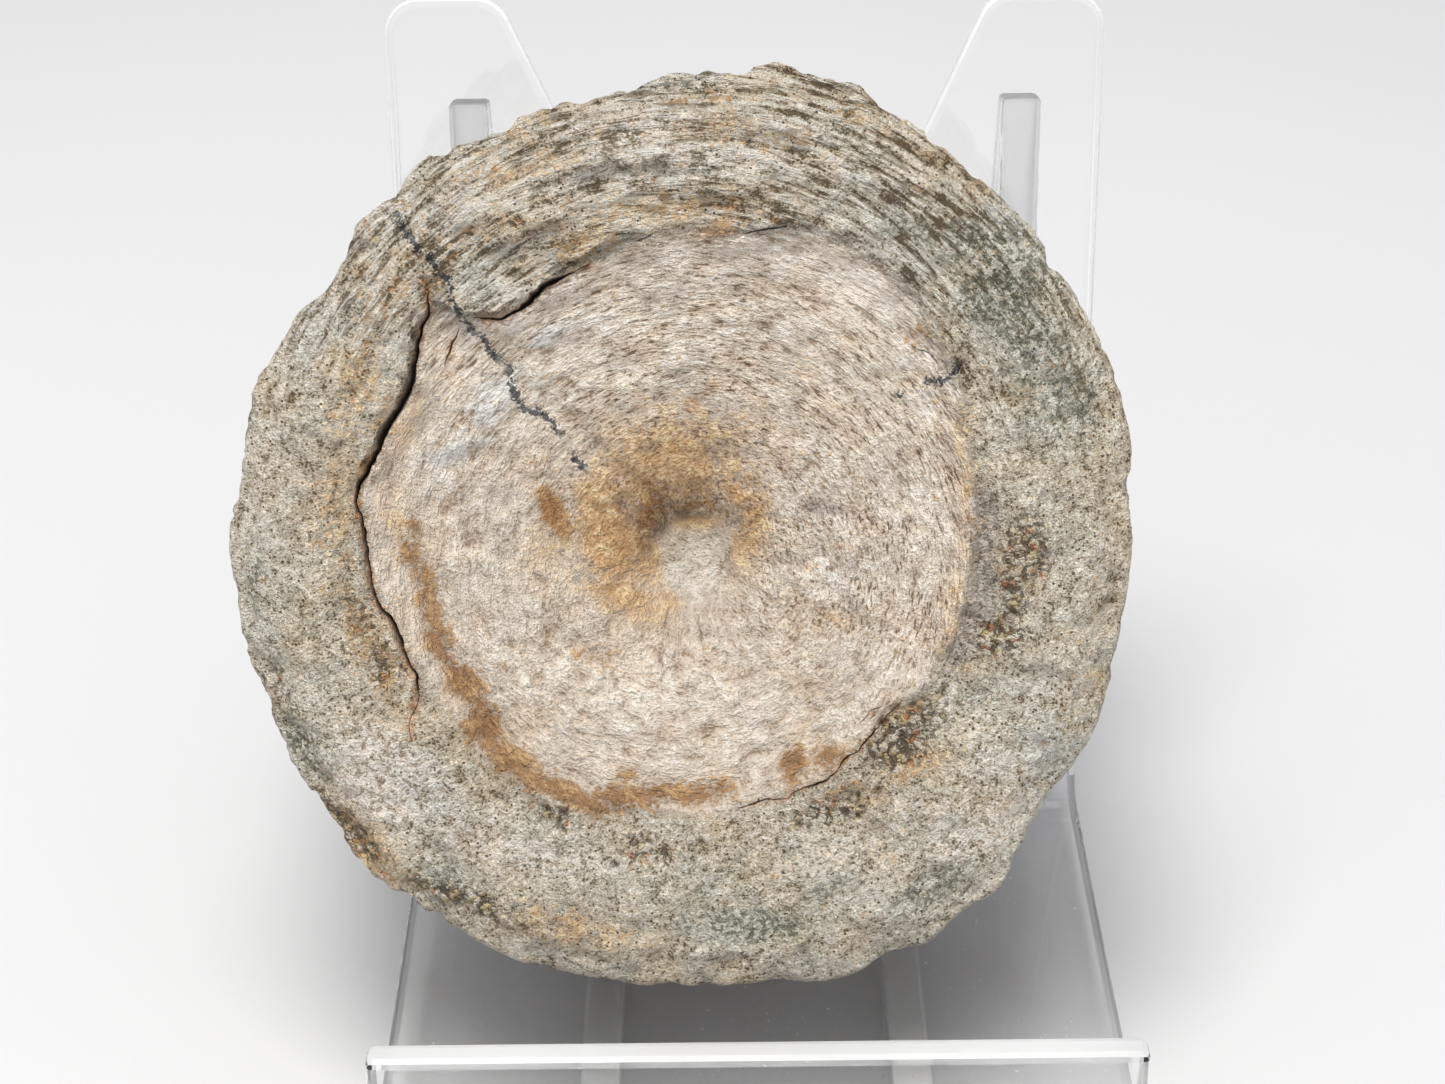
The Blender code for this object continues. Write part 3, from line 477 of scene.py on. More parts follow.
def wall_radius(degrees, share):
    """Side wall from the front rim (share 0) to the back rim (share 1)."""
    radius = widest_radius(degrees) * (1.0 - share) + back_radius(degrees) * share
    radius = radius - WAIST * np.sin(pi * share)
    for at_degrees, at_share in RIB_FACETS:
        radius = radius + RIB_FACET_HEIGHT * bump(degrees, share, at_degrees, at_share, 9.0, 0.26)
        radius = radius - RIB_FACET_CUP * bump(degrees, share, at_degrees, at_share, 4.0, 0.12)
    radius = radius - CANAL_DEPTH * bump(degrees, share, CANAL_ANGLE, 0.5, 7.0, 0.34)
    for side in (-1.0, 1.0):
        at_degrees = CANAL_ANGLE + side * ARCH_FACET_OFFSET
        radius = radius + ARCH_FACET_HEIGHT * bump(degrees, share, at_degrees, 0.5, 7.0, 0.28)
        radius = radius - ARCH_FACET_CUP * bump(degrees, share, at_degrees, 0.5, 3.6, 0.16)
    return radius


def pit_distance(x, y):
    return np.hypot(x - PIT_CENTRE[0], y - PIT_CENTRE[1])


def joined(x, y, z):
    return np.stack((x, y, z), axis=1)


def new_object(name, data):
    item = bpy.data.objects.new(name, data)
    bpy.context.scene.collection.objects.link(item)
    return item


def ring_of(count):
    return np.arange(count) * 360.0 / count


def between(start, end, step):
    """Shares from 0 to 1, without 0, about a step apart."""
    count = int(round(abs(end - start) / step))
    return np.arange(1, count + 1) / count


def on_front(line_a, line_b, share):
    x = line_a[0] * (1.0 - share) + line_b[0] * share
    y = line_a[1] * (1.0 - share) + line_b[1] * share
    return joined(x, y, face_height(x, y))


def front_rings():
    """Closed rings from the pit to the face's edge; the number of points doubles outwards."""
    pit = np.array(PIT_CENTRE)
    rings = [np.array([[*pit, face_height(*pit)]])]
    for radius in np.arange(FRONT_STEP, PIT_REACH + 0.1, FRONT_STEP):
        count = SPOKES // 32 if radius < 1.0 else SPOKES // 16 if radius < 2.4 else SPOKES // 8
        count = SPOKES // 4 if radius > 5.0 else count
        x, y = polar(ring_of(count), radius, PIT_CENTRE)
        rings.append(joined(x, y, face_height(x, y)))
    for share in between(PIT_REACH, DISH_REACH, FRONT_STEP):
        degrees = ring_of(SPOKES if share > 0.42 else SPOKES // 2)
        edge_line = polar(degrees, around(DISH_EDGE, degrees))
        rings.append(on_front(polar(degrees, PIT_REACH, PIT_CENTRE), edge_line, share))
    degrees = ring_of(SPOKES)
    edge_line = polar(degrees, around(DISH_EDGE, degrees))
    outer_line = polar(degrees, face_radius(degrees))
    for share in between(DISH_REACH, FACE_REACH, FRONT_STEP):
        rings.append(on_front(edge_line, outer_line, share))
    return rings


def side_rings():
    degrees = ring_of(SPOKES)
    rings = []
    edge = face_radius(degrees)
    x, y = polar(degrees, edge)
    start = face_height(x, y)
    for turn in (18, 36, 54, 72, 90):
        lift = cos(radians(turn))
        radius = edge + BEVEL * sin(radians(turn))
        x, y = polar(degrees, radius)
        rings.append(joined(x, y, start * lift - RIM_DEPTH * (1.0 - lift)))
    for share in between(0.0, THICKNESS - RIM_DEPTH, WALL_STEP):
        x, y = polar(degrees, wall_radius(degrees, share))
        depth = RIM_DEPTH * (1.0 - share) + (back_depth(x, y) - RIM_DEPTH) * share
        rings.append(joined(x, y, -depth))
    return rings


def back_rings():
    rings = []
    degrees = ring_of(SPOKES)
    for inset, rise in ((0.35, 0.45), (0.85, 0.8), (1.6, 0.8)):
        x, y = polar(degrees, back_radius(degrees) - inset)
        rings.append(joined(x, y, rise - back_depth(x, y)))
    for inset in np.arange(2.2, 14.6, BACK_STEP):
        degrees = ring_of(SPOKES // 2)
        x, y = polar(degrees, back_radius(degrees) - inset)
        rise = 0.8 * smooth_step(4.6, 1.4, inset) * np.ones_like(x)
        rings.append(joined(x, y, rise - back_depth(x, y)))
    for scale in 1.0 - between(0.0, 28.0, BACK_STEP)[:-1]:
        count = SPOKES // 2 if scale > 0.5 else SPOKES // 4 if scale > 0.22 else SPOKES // 8
        turns = ring_of(count if scale > 0.1 else SPOKES // 16)
        reach = back_radius(turns) * BACK_DISH_SHARE * scale
        x, y = polar(turns, reach, (PIT_CENTRE[0] * (1.0 - scale), PIT_CENTRE[1] * (1.0 - scale)))
        rise = along(DISH, DISH_SPAN * scale) - BACK_SINK
        rings.append(joined(x, y, rise - back_depth(x, y)))
    x, y = np.array([PIT_CENTRE[0]]), np.array([PIT_CENTRE[1]])
    rings.append(joined(x, y, DISH[0][1] - BACK_SINK - back_depth(x, y)))
    return rings


def stitched(rings):
    """Faces between neighbouring rings; one may have twice the other's points, or be one point."""
    faces = []
    start = 0
    for ring_a, ring_b in zip(rings[:-1], rings[1:]):
        a = list(range(start, start + len(ring_a)))
        b = list(range(start + len(ring_a), start + len(ring_a) + len(ring_b)))
        start += len(ring_a)
        outward = len(a) <= len(b)
        few, many = (a, b) if outward else (b, a)
        near, total = len(few), len(many)
        found = []
        for i in range(total if near == 1 else near):
            j = (i + 1) % near
            if near == 1:
                found.append((few[0], many[i], many[(i + 1) % total]))
            elif near == total:
                found.append((few[i], many[i], many[j], few[j]))
            else:
                middle = many[2 * i + 1]
                found.append((few[i], many[2 * i], middle))
                found.append((few[i], middle, few[j]))
                found.append((few[j], middle, many[(2 * i + 2) % total]))
        faces += found if outward else [face[::-1] for face in found]
    return faces


def fractal(points, size, octaves=3, shift=0.0):
    """Rough noise about zero; size is that of its widest lumps."""
    scaled = np.asarray(points, float) / size + shift
    return np.array([noise.fractal(Vector(p), 1.0, 2.0, octaves) for p in scaled])


def cell_distance(points, size, shift=0.0):
    """Distance to the middle of the nearest of many random cells, in cells."""
    scaled = np.asarray(points, float) / size + shift
    return np.array([noise.voronoi(Vector(p))[0][0] for p in scaled])


def wound(points, turns, radial, centre=(0.0, 0.0)):
    """Places on a scale that is long around the centre and short away from it."""
    x, y = points[:, 0] - centre[0], points[:, 1] - centre[1]
    radius = np.hypot(x, y) + 1e-6
    return np.stack((x / radius * turns, y / radius * turns, radius * radial), axis=1)


def seen(points):
    """X and Y on the rim's plane that line up with each point from in front."""
    depth = np.maximum(-points[:, 2], 0.0)
    share = (depth / (VIEW_DISTANCE + depth))[:, None]
    return points[:, :2] + (np.array(VIEW_FOOT) - points[:, :2]) * share


def under_mark(x, y):
    """The point of the front surface that a mark at x, y lines up with."""
    place = np.array((x, y), float)
    for _ in range(4):
        depth = -float(face_height(*place))
        share = depth / (VIEW_DISTANCE + depth)
        place = (np.array((x, y)) - share * np.array(VIEW_FOOT)) / (1.0 - share)
    return (*place, float(face_height(*place)))


def patches(marks, spots):
    """Strongest of the soft oval patches at each place."""
    value = np.zeros(len(marks))
    for x, y, reach, across, turn, strength in spots:
        c, s = cos(radians(turn)), sin(radians(turn))
        dx, dy = marks[:, 0] - x, marks[:, 1] - y
        u, v = (dx * c + dy * s) / reach, (dy * c - dx * s) / across
        value = np.maximum(value, strength * np.exp(-(u * u + v * v)))
    return value


def raised(folds, sign):
    """The folds that go one way, with that height as their strength."""
    return [(*fold[:5], abs(fold[5])) for fold in folds if fold[5] * sign > 0.0]


def line_distance(marks, line, fade=0.5):
    """Signed distance to a bent line, and whether the place is beside it and not past its ends."""
    best = np.full(len(marks), 1e9)
    signed = np.full(len(marks), 1e9)
    beside = np.zeros(len(marks))
    line = np.array([p[:2] for p in line], float)
    for i, (start, end) in enumerate(zip(line[:-1], line[1:])):
        run = end - start
        length = np.hypot(*run)
        offset = marks - start
        t = offset @ run / length ** 2
        nearest = start + np.clip(t, 0.0, 1.0)[:, None] * run
        distance = np.hypot(*(marks - nearest).T)
        side = np.sign(run[0] * offset[:, 1] - run[1] * offset[:, 0] + 1e-9)
        past = np.zeros(len(marks))
        if i == 0:
            past = np.maximum(past, fade - t * length)
        if i == len(line) - 2:
            past = np.maximum(past, fade + (t - 1.0) * length)
        closer = distance < best
        best = np.where(closer, distance, best)
        signed = np.where(closer, distance * side, signed)
        beside = np.where(closer, 1.0 - smooth_step(0.0, 1.5 * fade, past), beside)
    return signed, beside


def beside_line(marks, line, width, fade=0.5):
    """One on a bent line, and less to both sides of it and past its ends."""
    signed, beside = line_distance(marks, line, fade)
    return beside * np.exp(-(signed / width) ** 2)


def regions(points):
    """Share of each point on the front, the side wall and the back, and distance past the dish's edge."""
    x, y, z = points.T
    degrees = np.degrees(np.arctan2(y, x))
    radius = np.hypot(x, y)
    outer = face_radius(degrees)
    from_front = np.where(radius < outer - 6.0, z + MIDDLE_DEPTH > 0.0, smooth_step(-6.0, -3.4, z))
    lowest = back_depth(x, y)
    from_back = np.where(radius < outer - 6.0, z + MIDDLE_DEPTH <= 0.0, smooth_step(3.0, 1.2, lowest + z))
    wall = np.clip(1.0 - from_front - from_back, 0.0, 1.0)
    front_edge = radius - around(DISH_EDGE, degrees)
    back_edge = radius - BACK_DISH_SHARE * back_radius(degrees)
    past_edge = front_edge * from_front + back_edge * from_back + 12.0 * wall
    return from_front.astype(float), wall, from_back.astype(float), past_edge


def relief(points):
    """Small relief over the whole surface, in millimetres outwards."""
    front, wall, back, past_edge = regions(points)
    marks = seen(points)
    degrees = np.degrees(np.arctan2(points[:, 1], points[:, 0]))
    radius = np.hypot(points[:, 0], points[:, 1])
    ring = smooth_step(-0.6, 0.8, past_edge)
    near_rim = smooth_step(-4.0, -0.5, radius - face_radius(degrees)) * (1.0 - back)
    top = fading(degrees, *LINED_PLACE)
    from_pit = pit_distance(*points[:, :2].T)
    coarse = fractal(points, 4.6, 3)
    medium = fractal(points, 1.9, 3, 7.3)
    lines = fractal(wound(points, 12.0, 0.75), 1.0, 3, 3.1)
    swirl = fractal(wound(points, 5.0, 0.30, PIT_CENTRE), 1.0, 4, 11.7) * smooth_step(4.0, 9.0, from_pit)
    grain = fractal(np.stack((degrees * 0.8, points[:, 2] * 0.16, radius * 0.3), axis=1), 1.0, 3, 5.0)
    pits = smooth_step(0.34, 0.14, cell_distance(points, 1.7, 2.0))
    spotty = smooth_step(-0.1, 0.35, fractal(points, 7.0, 2, 17.0))
    height = ring * (RING_COARSE * coarse + RING_MEDIUM * medium) - SINK
    height += ring * (1.0 - wall) * lines * (0.12 + 0.22 * top)
    swirl *= 0.26 + 0.30 * np.exp(-((from_pit - 8.0) / 3.0) ** 2)
    height += (1.0 - ring) * (swirl + DISH_MEDIUM * medium + DISH_COARSE * coarse)
    height += FOLD_GAIN * front * (patches(marks, raised(FOLDS, 1.0)) - patches(marks, raised(FOLDS, -1.0)))
    height += (0.14 + 0.24 * top) * ring * (1.0 - wall) * fractal(wound(points, 3.2, 0.33), 1.0, 2, 41.0)
    height += wall * (WALL_GRAIN * grain + WALL_COARSE * coarse)
    height -= ring * pits * spotty * PORE_DEPTH
    toothed = 0.35 + 0.55 * fading(degrees, *NOTCHED_PLACE)
    height -= near_rim * toothed * np.abs(fractal(points, 4.4, 3, 23.0)) * NOTCH_DEPTH
    lumpy = patches(marks, LUMPY)
    height += lumpy * front * (0.5 * medium - 0.5 * smooth_step(0.42, 0.15, cell_distance(points, 2.2, 9.0)))
    for name, depth, reach in WORN_CRACKS:
        height -= front * depth * beside_line(marks, CRACKS[name], reach)
    height -= front * patches(marks, CHIPPED)
    for line, width, rise in ((BROWN_BAND, 1.5, -0.35), (GREY_BAND, 1.2, -0.50), (TAN_LIP, 0.9, 0.22)):
        height += front * rise * beside_line(marks, line, width, BAND_FADE)
    rim = np.maximum(near_rim, wall)
    height -= TOP_WEAR * rim * fading(degrees, *WORN_PLACE)
    highest = HIGHEST - 0.40 * rim + 0.42 * smooth_step(0.25, 0.0, rim)
    return np.clip(height, LOWEST, highest)


def crack_cutter(name, route):
    """A thin ragged wedge that follows the surface, open upwards and sharp at its foot."""
    x, y, half, depth = np.array(route).T
    run = np.concatenate(([0.0], np.cumsum(np.hypot(np.diff(x), np.diff(y)))))
    steps = np.linspace(0.0, run[-1], int(run[-1] / CRACK_STEP) + 2)
    x, y, half, depth = (smooth_through(run, v, steps) for v in (x, y, half, depth))
    tangent = np.stack((np.gradient(x), np.gradient(y)), axis=1)
    tangent /= np.linalg.norm(tangent, axis=1)[:, None]
    reach = np.stack((steps / 1.1, np.full_like(steps, float(x[0])), np.zeros_like(steps)), axis=1)
    wander = CRACK_WANDER * fractal(reach, 1.0, 3)
    left_rag = 1.0 + 0.45 * fractal(reach, 0.6, 2, 4.0)
    right_rag = 1.0 + 0.45 * fractal(reach, 0.6, 2, 9.0)
    verts = []
    for i in range(len(steps)):
        px = x[i] - tangent[i, 1] * wander[i]
        py = y[i] + tangent[i, 0] * wander[i]
        px, py, pz = under_mark(px, py)
        spread = half[i] * (1.0 + CRACK_RISE / depth[i])
        for offset, z in ((spread * left_rag[i], pz + CRACK_RISE), (-spread * right_rag[i], pz + CRACK_RISE),
                          (0.0, pz - depth[i])):
            verts.append((px - tangent[i, 1] * offset, py + tangent[i, 0] * offset, z))
    faces = [(0, 1, 2), tuple(range(len(verts) - 1, len(verts) - 4, -1))]
    for i in range(len(steps) - 1):
        for k in range(3):
            a, b = 3 * i + k, 3 * i + (k + 1) % 3
            faces.append((b, a, a + 3, b + 3))
    mesh = bpy.data.meshes.new(name)
    mesh.from_pydata([Vector(v) * MM for v in verts], [], faces)
    turned = bmesh.new()
    turned.from_mesh(mesh)
    bmesh.ops.recalc_face_normals(turned, faces=turned.faces)
    turned.to_mesh(mesh)
    turned.free()
    return new_object(name, mesh)


def vertex_vectors(mesh, name):
    flat = np.zeros(len(mesh.vertices) * 3, np.float32)
    mesh.vertices.foreach_get(name, flat)
    return flat.reshape(-1, 3).astype(float)


def store(mesh, name, values):
    layer = mesh.attributes.new(name, "FLOAT", "POINT")
    layer.data.foreach_set("value", np.asarray(values, np.float32))


def store_marks(mesh):
    """Keep where the stains, patches of painted light and shade, veins and cracks lie, for the material."""
    points = vertex_vectors(mesh, "co") / MM
    front, wall, back, past_edge = regions(points)
    marks = seen(points)
    place = mesh.attributes.new("place", "FLOAT_VECTOR", "POINT")
    place.data.foreach_set("vector", points.astype(np.float32).ravel())
    store(mesh, "past_edge", past_edge)
    store(mesh, "crumbly", patches(marks, LUMPY) * front)
    store(mesh, "wall", wall)
    hidden = 1.0 - front
    lumps = 0.5 + fractal(points, 9.0, 3, 31.0)
    other = 0.5 + fractal(points, 7.0, 3, 47.0)
    dish = smooth_step(0.5, -0.5, past_edge)
    from_pit = pit_distance(*points[:, :2].T)
    around_pit = np.exp(-((from_pit - 8.0) / 5.0) ** 2)
    near_edge = np.exp(-(past_edge / 1.6) ** 2)
    generic = {
        "ochre": np.clip(lumps - 0.25, 0, 1) * 0.7 + 0.7 * back * around_pit,
        "brown": back * near_edge * other + 0.35 * wall * np.clip(other - 0.3, 0, 1),
        "rust": 0.6 * np.clip(lumps - 0.75, 0, 1),
        "green": (1.0 - dish) * np.clip(other - 0.1, 0, 1) * 0.9,
        "pale": np.clip(1.1 - lumps, 0, 1) * 0.7 * (0.4 + 0.6 * dish),
        "cool": 0.4 * np.clip(1.0 - other, 0, 1),
        "grey": 0.3 * np.clip(lumps - 0.5, 0, 1),
        "dark_patches": 0.5 * wall * np.clip(0.9 - other, 0, 1),
    }
    drawn = {"ochre": OCHRE, "brown": BROWN, "rust": RUST, "green": GREEN,
             "pale": PALE, "cool": COOL, "grey": GREY, "dark_patches": DARK_PATCHES}
    # The grey along GREY_BAND is partly painted shade below the dish's step, and the pale along TAN_LIP is
    # painted light on the lip
    lines = {"brown": (BROWN_BAND, 1.5, 0.85), "grey": (GREY_BAND, 1.4, 1.25), "pale": (TAN_LIP, 0.8, 0.25),
             "ochre": (TAN_LIP, 1.2, 0.55)}
    for name, spots in drawn.items():
        value = patches(marks, spots)
        if name in lines:
            line, width, strength = lines[name]
            value = np.maximum(value, strength * beside_line(marks, line, width, BAND_FADE))
        store(mesh, name, value * front + generic[name] * hidden)
    vein = np.full(len(points), 9.0)
    beside_vein = np.zeros(len(points))
    for line in VEINS:
        signed, beside = line_distance(marks, line)
        closer = np.abs(signed) < np.abs(vein)
        vein = np.where(closer, signed, vein)
        beside_vein = np.where(closer, beside, beside_vein)
    store(mesh, "vein", vein)
    store(mesh, "beside_vein", beside_vein * front * (np.abs(vein) < 2.0))
    edge_glow = np.zeros(len(points))
    in_crack = np.zeros(len(points))
    for name, route in CRACKS.items():
        signed, beside = line_distance(marks, route)
        strength = CRACK_STAINS.get(name, 0.3)
        edge_glow = np.maximum(edge_glow, strength * beside * np.exp(-(signed / 0.8) ** 2))
        in_crack = np.maximum(in_crack, np.exp(-(signed / 1.1) ** 4))
    store(mesh, "crack_side", edge_glow * front)
    # Insides of the cracks, painted near black in the material: painted shade in the cracks
    depth = face_height(points[:, 0], points[:, 1]) - points[:, 2]
    store(mesh, "crack_shade", smooth_step(0.5, 1.1, depth) * in_crack * front)


def build_vertebra(corner):
    rings = front_rings() + side_rings() + back_rings()
    mesh = bpy.data.meshes.new("fossil_vertebra")
    mesh.from_pydata([Vector(p) * MM for p in np.concatenate(rings)], [], stitched(rings))
    mesh.update()
    points = vertex_vectors(mesh, "co") / MM
    points = points + vertex_vectors(mesh, "normal") * relief(points)[:, None]
    mesh.vertices.foreach_set("co", (points * MM).astype(np.float32).ravel())
    mesh.update()
    item = new_object("fossil_vertebra", mesh)
    cutters = [crack_cutter("crack_" + name, route) for name, route in CRACKS.items()]
    for cutter in cutters:
        cut = item.modifiers.new(cutter.name, "BOOLEAN")
        cut.operation = "DIFFERENCE"
        cut.solver = "EXACT"
        cut.object = cutter
    bpy.context.view_layer.update()
    ready = item.evaluated_get(bpy.context.evaluated_depsgraph_get())
    final = bpy.data.meshes.new_from_object(ready)
    item.modifiers.clear()
    item.data = final
    for cutter in cutters:
        bpy.data.objects.remove(cutter)
    final.shade_smooth()
    final.set_sharp_from_angle(angle=radians(50))
    store_marks(final)
    final.materials.clear()
    final.materials.append(bone_material())
    lean = Matrix.Rotation(pi / 2 - FACE_LEAN, 4, "X")
    final.transform(Matrix.Translation(corner + FACE_CENTRE * MM) @ lean)
    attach(item, "root")
    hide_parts("vertebra")


class Value:
    """A shader node's output that can be added, taken away and multiplied."""

    def __init__(self, graph, socket):
        self.graph = graph
        self.socket = socket

    def __add__(self, other):
        return self.graph.math("ADD", self, other)

    def __radd__(self, other):
        return self.graph.math("ADD", other, self)

    def __sub__(self, other):
        return self.graph.math("SUBTRACT", self, other)

    def __rsub__(self, other):
        return self.graph.math("SUBTRACT", other, self)

    def __mul__(self, other):
        return self.graph.math("MULTIPLY", self, other)

    def __abs__(self):
        return self.graph.math("ABSOLUTE", self)


class Graph:
    """Short ways to add shader nodes to one material and join them."""

    def __init__(self, name):
        self.material = bpy.data.materials.new(name)
        self.material.use_nodes = True
        self.tree = self.material.node_tree
        self.shader = self.tree.nodes["Principled BSDF"]

    def put(self, socket, value):
        if isinstance(value, Value):
            self.tree.links.new(value.socket, socket)
        elif isinstance(value, tuple) and len(value) == 3 and socket.type == "RGBA":
            socket.default_value = (*value, 1.0)
        else:
            socket.default_value = value

    def look(self, name, value):
        """Give the shader's own input a value."""
        self.put(self.shader.inputs[name], value)

    def add(self, kind, *values, output=0, named=(), **settings):
        """A node with its first inputs given in order and others by name, and one of its outputs."""
        made = self.tree.nodes.new("ShaderNode" + kind)
        for name, value in settings.items():
            setattr(made, name, value)
        for socket, value in zip(made.inputs, values):
            if value is not None:
                self.put(socket, value)
        for name, value in named:
            self.put(made.inputs[name], value)
        return Value(self, made.outputs[output])

    def read(self, name, output="Fac"):
        return self.add("Attribute", output=output, attribute_name=name)

    def math(self, operation, *values):
        return self.add("Math", *values, operation=operation)

    def vector(self, operation, *values, output=0):
        return self.add("VectorMath", *values, output=output, operation=operation)

    def part(self, vector, axis):
        return self.add("SeparateXYZ", vector, output=axis)

    def length(self, vector):
        return self.vector("LENGTH", vector, output="Value")

    def ramp(self, value, low, high, start=0.0, end=1.0):
        return self.add("MapRange", value, low, high, start, end, interpolation_type="SMOOTHSTEP")

    def noise(self, place, scale, detail, rough, distortion=0.0, output="Fac"):
        named = (("Vector", place), ("Scale", scale), ("Detail", detail), ("Roughness", rough),
                 ("Distortion", distortion))
        return self.add("TexNoise", output=output, named=named)

    def cells(self, place, scale, output="Distance"):
        return self.add("TexVoronoi", output=output, named=(("Vector", place), ("Scale", scale)))

    def mix(self, share, a, b):
        unused = (None,) * 5
        return self.add("Mix", share, *unused, a, b, output=2, data_type="RGBA")

    def flat(self, place, centre=(0.0, 0.0)):
        """Places in the face's plane, from a centre."""
        return self.vector("MULTIPLY", self.vector("SUBTRACT", place, (*centre, 0.0)), (1.0, 1.0, 0.0))

    def wound(self, place, turns, radial, centre=(0.0, 0.0)):
        """Places on a scale that is long around the centre and short away from it."""
        flat = self.flat(place, centre)
        way = self.vector("MULTIPLY", self.vector("NORMALIZE", flat), (turns, turns, 0.0))
        lift = self.add("CombineXYZ", 0.0, 0.0, self.length(flat) * radial)
        return self.vector("ADD", way, lift)

    def bumps(self, height, distance):
        named = (("Strength", 1.0), ("Distance", distance), ("Height", height))
        self.look("Normal", self.add("Bump", named=named))


def tone(*levels):
    """A colour given as it looks on a screen, from 0 to 255, as the shader's linear light."""
    return tuple(((v / 255 + 0.055) / 1.055) ** 2.4 for v in levels)


def graded(g, value, dark, middle, light):
    """A colour that runs from dark through middle to light as the value goes past one half."""
    low = g.mix(g.ramp(value, 0.24, 0.50), tone(*dark), tone(*middle))
    return g.mix(g.ramp(value, 0.50, 0.78), low, tone(*light))


# Tones from dark through middle to light
DISH_TONES = ((156, 136, 116), (207, 193, 177), (240, 233, 223))
DISH_WARM = ((158, 130, 102), (208, 186, 160), (238, 224, 204))
DASH_TONE = (104, 80, 54)
RING_TONES = ((104, 88, 62), (202, 191, 171), (243, 237, 225))
RING_WARM = ((100, 76, 46), (196, 176, 146), (236, 222, 198))
RING_COOL = ((84, 82, 62), (182, 179, 164), (229, 227, 218))
# Painted shade in the creases between the lines at the ring's top
CREASE_SHADE_TONE = (106, 88, 62)
WALL_TONE = (160, 142, 116)
MOSS_TONES = ((58, 62, 42), (84, 88, 66), (110, 112, 90))
CRACK_SIDE_TONES = ((96, 50, 24), (168, 110, 62), (206, 158, 112))
VEIN_TONES = ((30, 32, 36), (62, 66, 70), (120, 122, 124))
# Painted shade inside the cracks
CRACK_SHADE_TONE = (36, 25, 18)
GAP_TONE = (82, 68, 48)
# Start, full reach and greatest share of each kind of patch, stains and painted light and shade alike, then
# its tones
PATCH_LOOKS = {
    "pale": (0.20, 1.10, 0.80, (170, 153, 130), (233, 221, 205), (250, 245, 236)),
    "green": (0.15, 0.95, 0.48, (96, 98, 78), (168, 170, 154), (218, 219, 208)),
    "cool": (0.20, 1.10, 0.75, (128, 124, 118), (206, 205, 202), (235, 234, 231)),
    "grey": (0.20, 1.05, 0.75, (86, 75, 67), (141, 129, 119), (190, 180, 170)),
    "ochre": (0.15, 1.05, 0.85, (140, 94, 46), (200, 153, 95), (241, 214, 168)),
    "brown": (0.28, 0.82, 0.92, (88, 54, 22), (142, 101, 57), (192, 154, 104)),
    # dark patches, partly painted shade on the pit's upper-left wall
    "dark_patches": (0.25, 1.00, 0.85, (40, 34, 24), (96, 82, 62), (168, 154, 130)),
    "rust": (0.15, 1.15, 0.75, (110, 62, 24), (178, 126, 72), (214, 170, 118)),
}
# Specks in the stains and bits of loose matrix: range of the cells' random value, then the rest
SPECKS = (
    (0.64, 0.74, 0.7, (176, 120, 62)), (0.24, 0.14, 0.7, (98, 74, 44)), (0.93, 0.97, 0.8, (236, 222, 176)),
)
FIRST_BIT = (229, 219, 200)
BITS = ((0.62, 0.68, (208, 184, 128)), (0.80, 0.84, (186, 112, 58)), (0.90, 0.93, (128, 112, 92)))
BUMP_DEPTH = 1.05 * MM


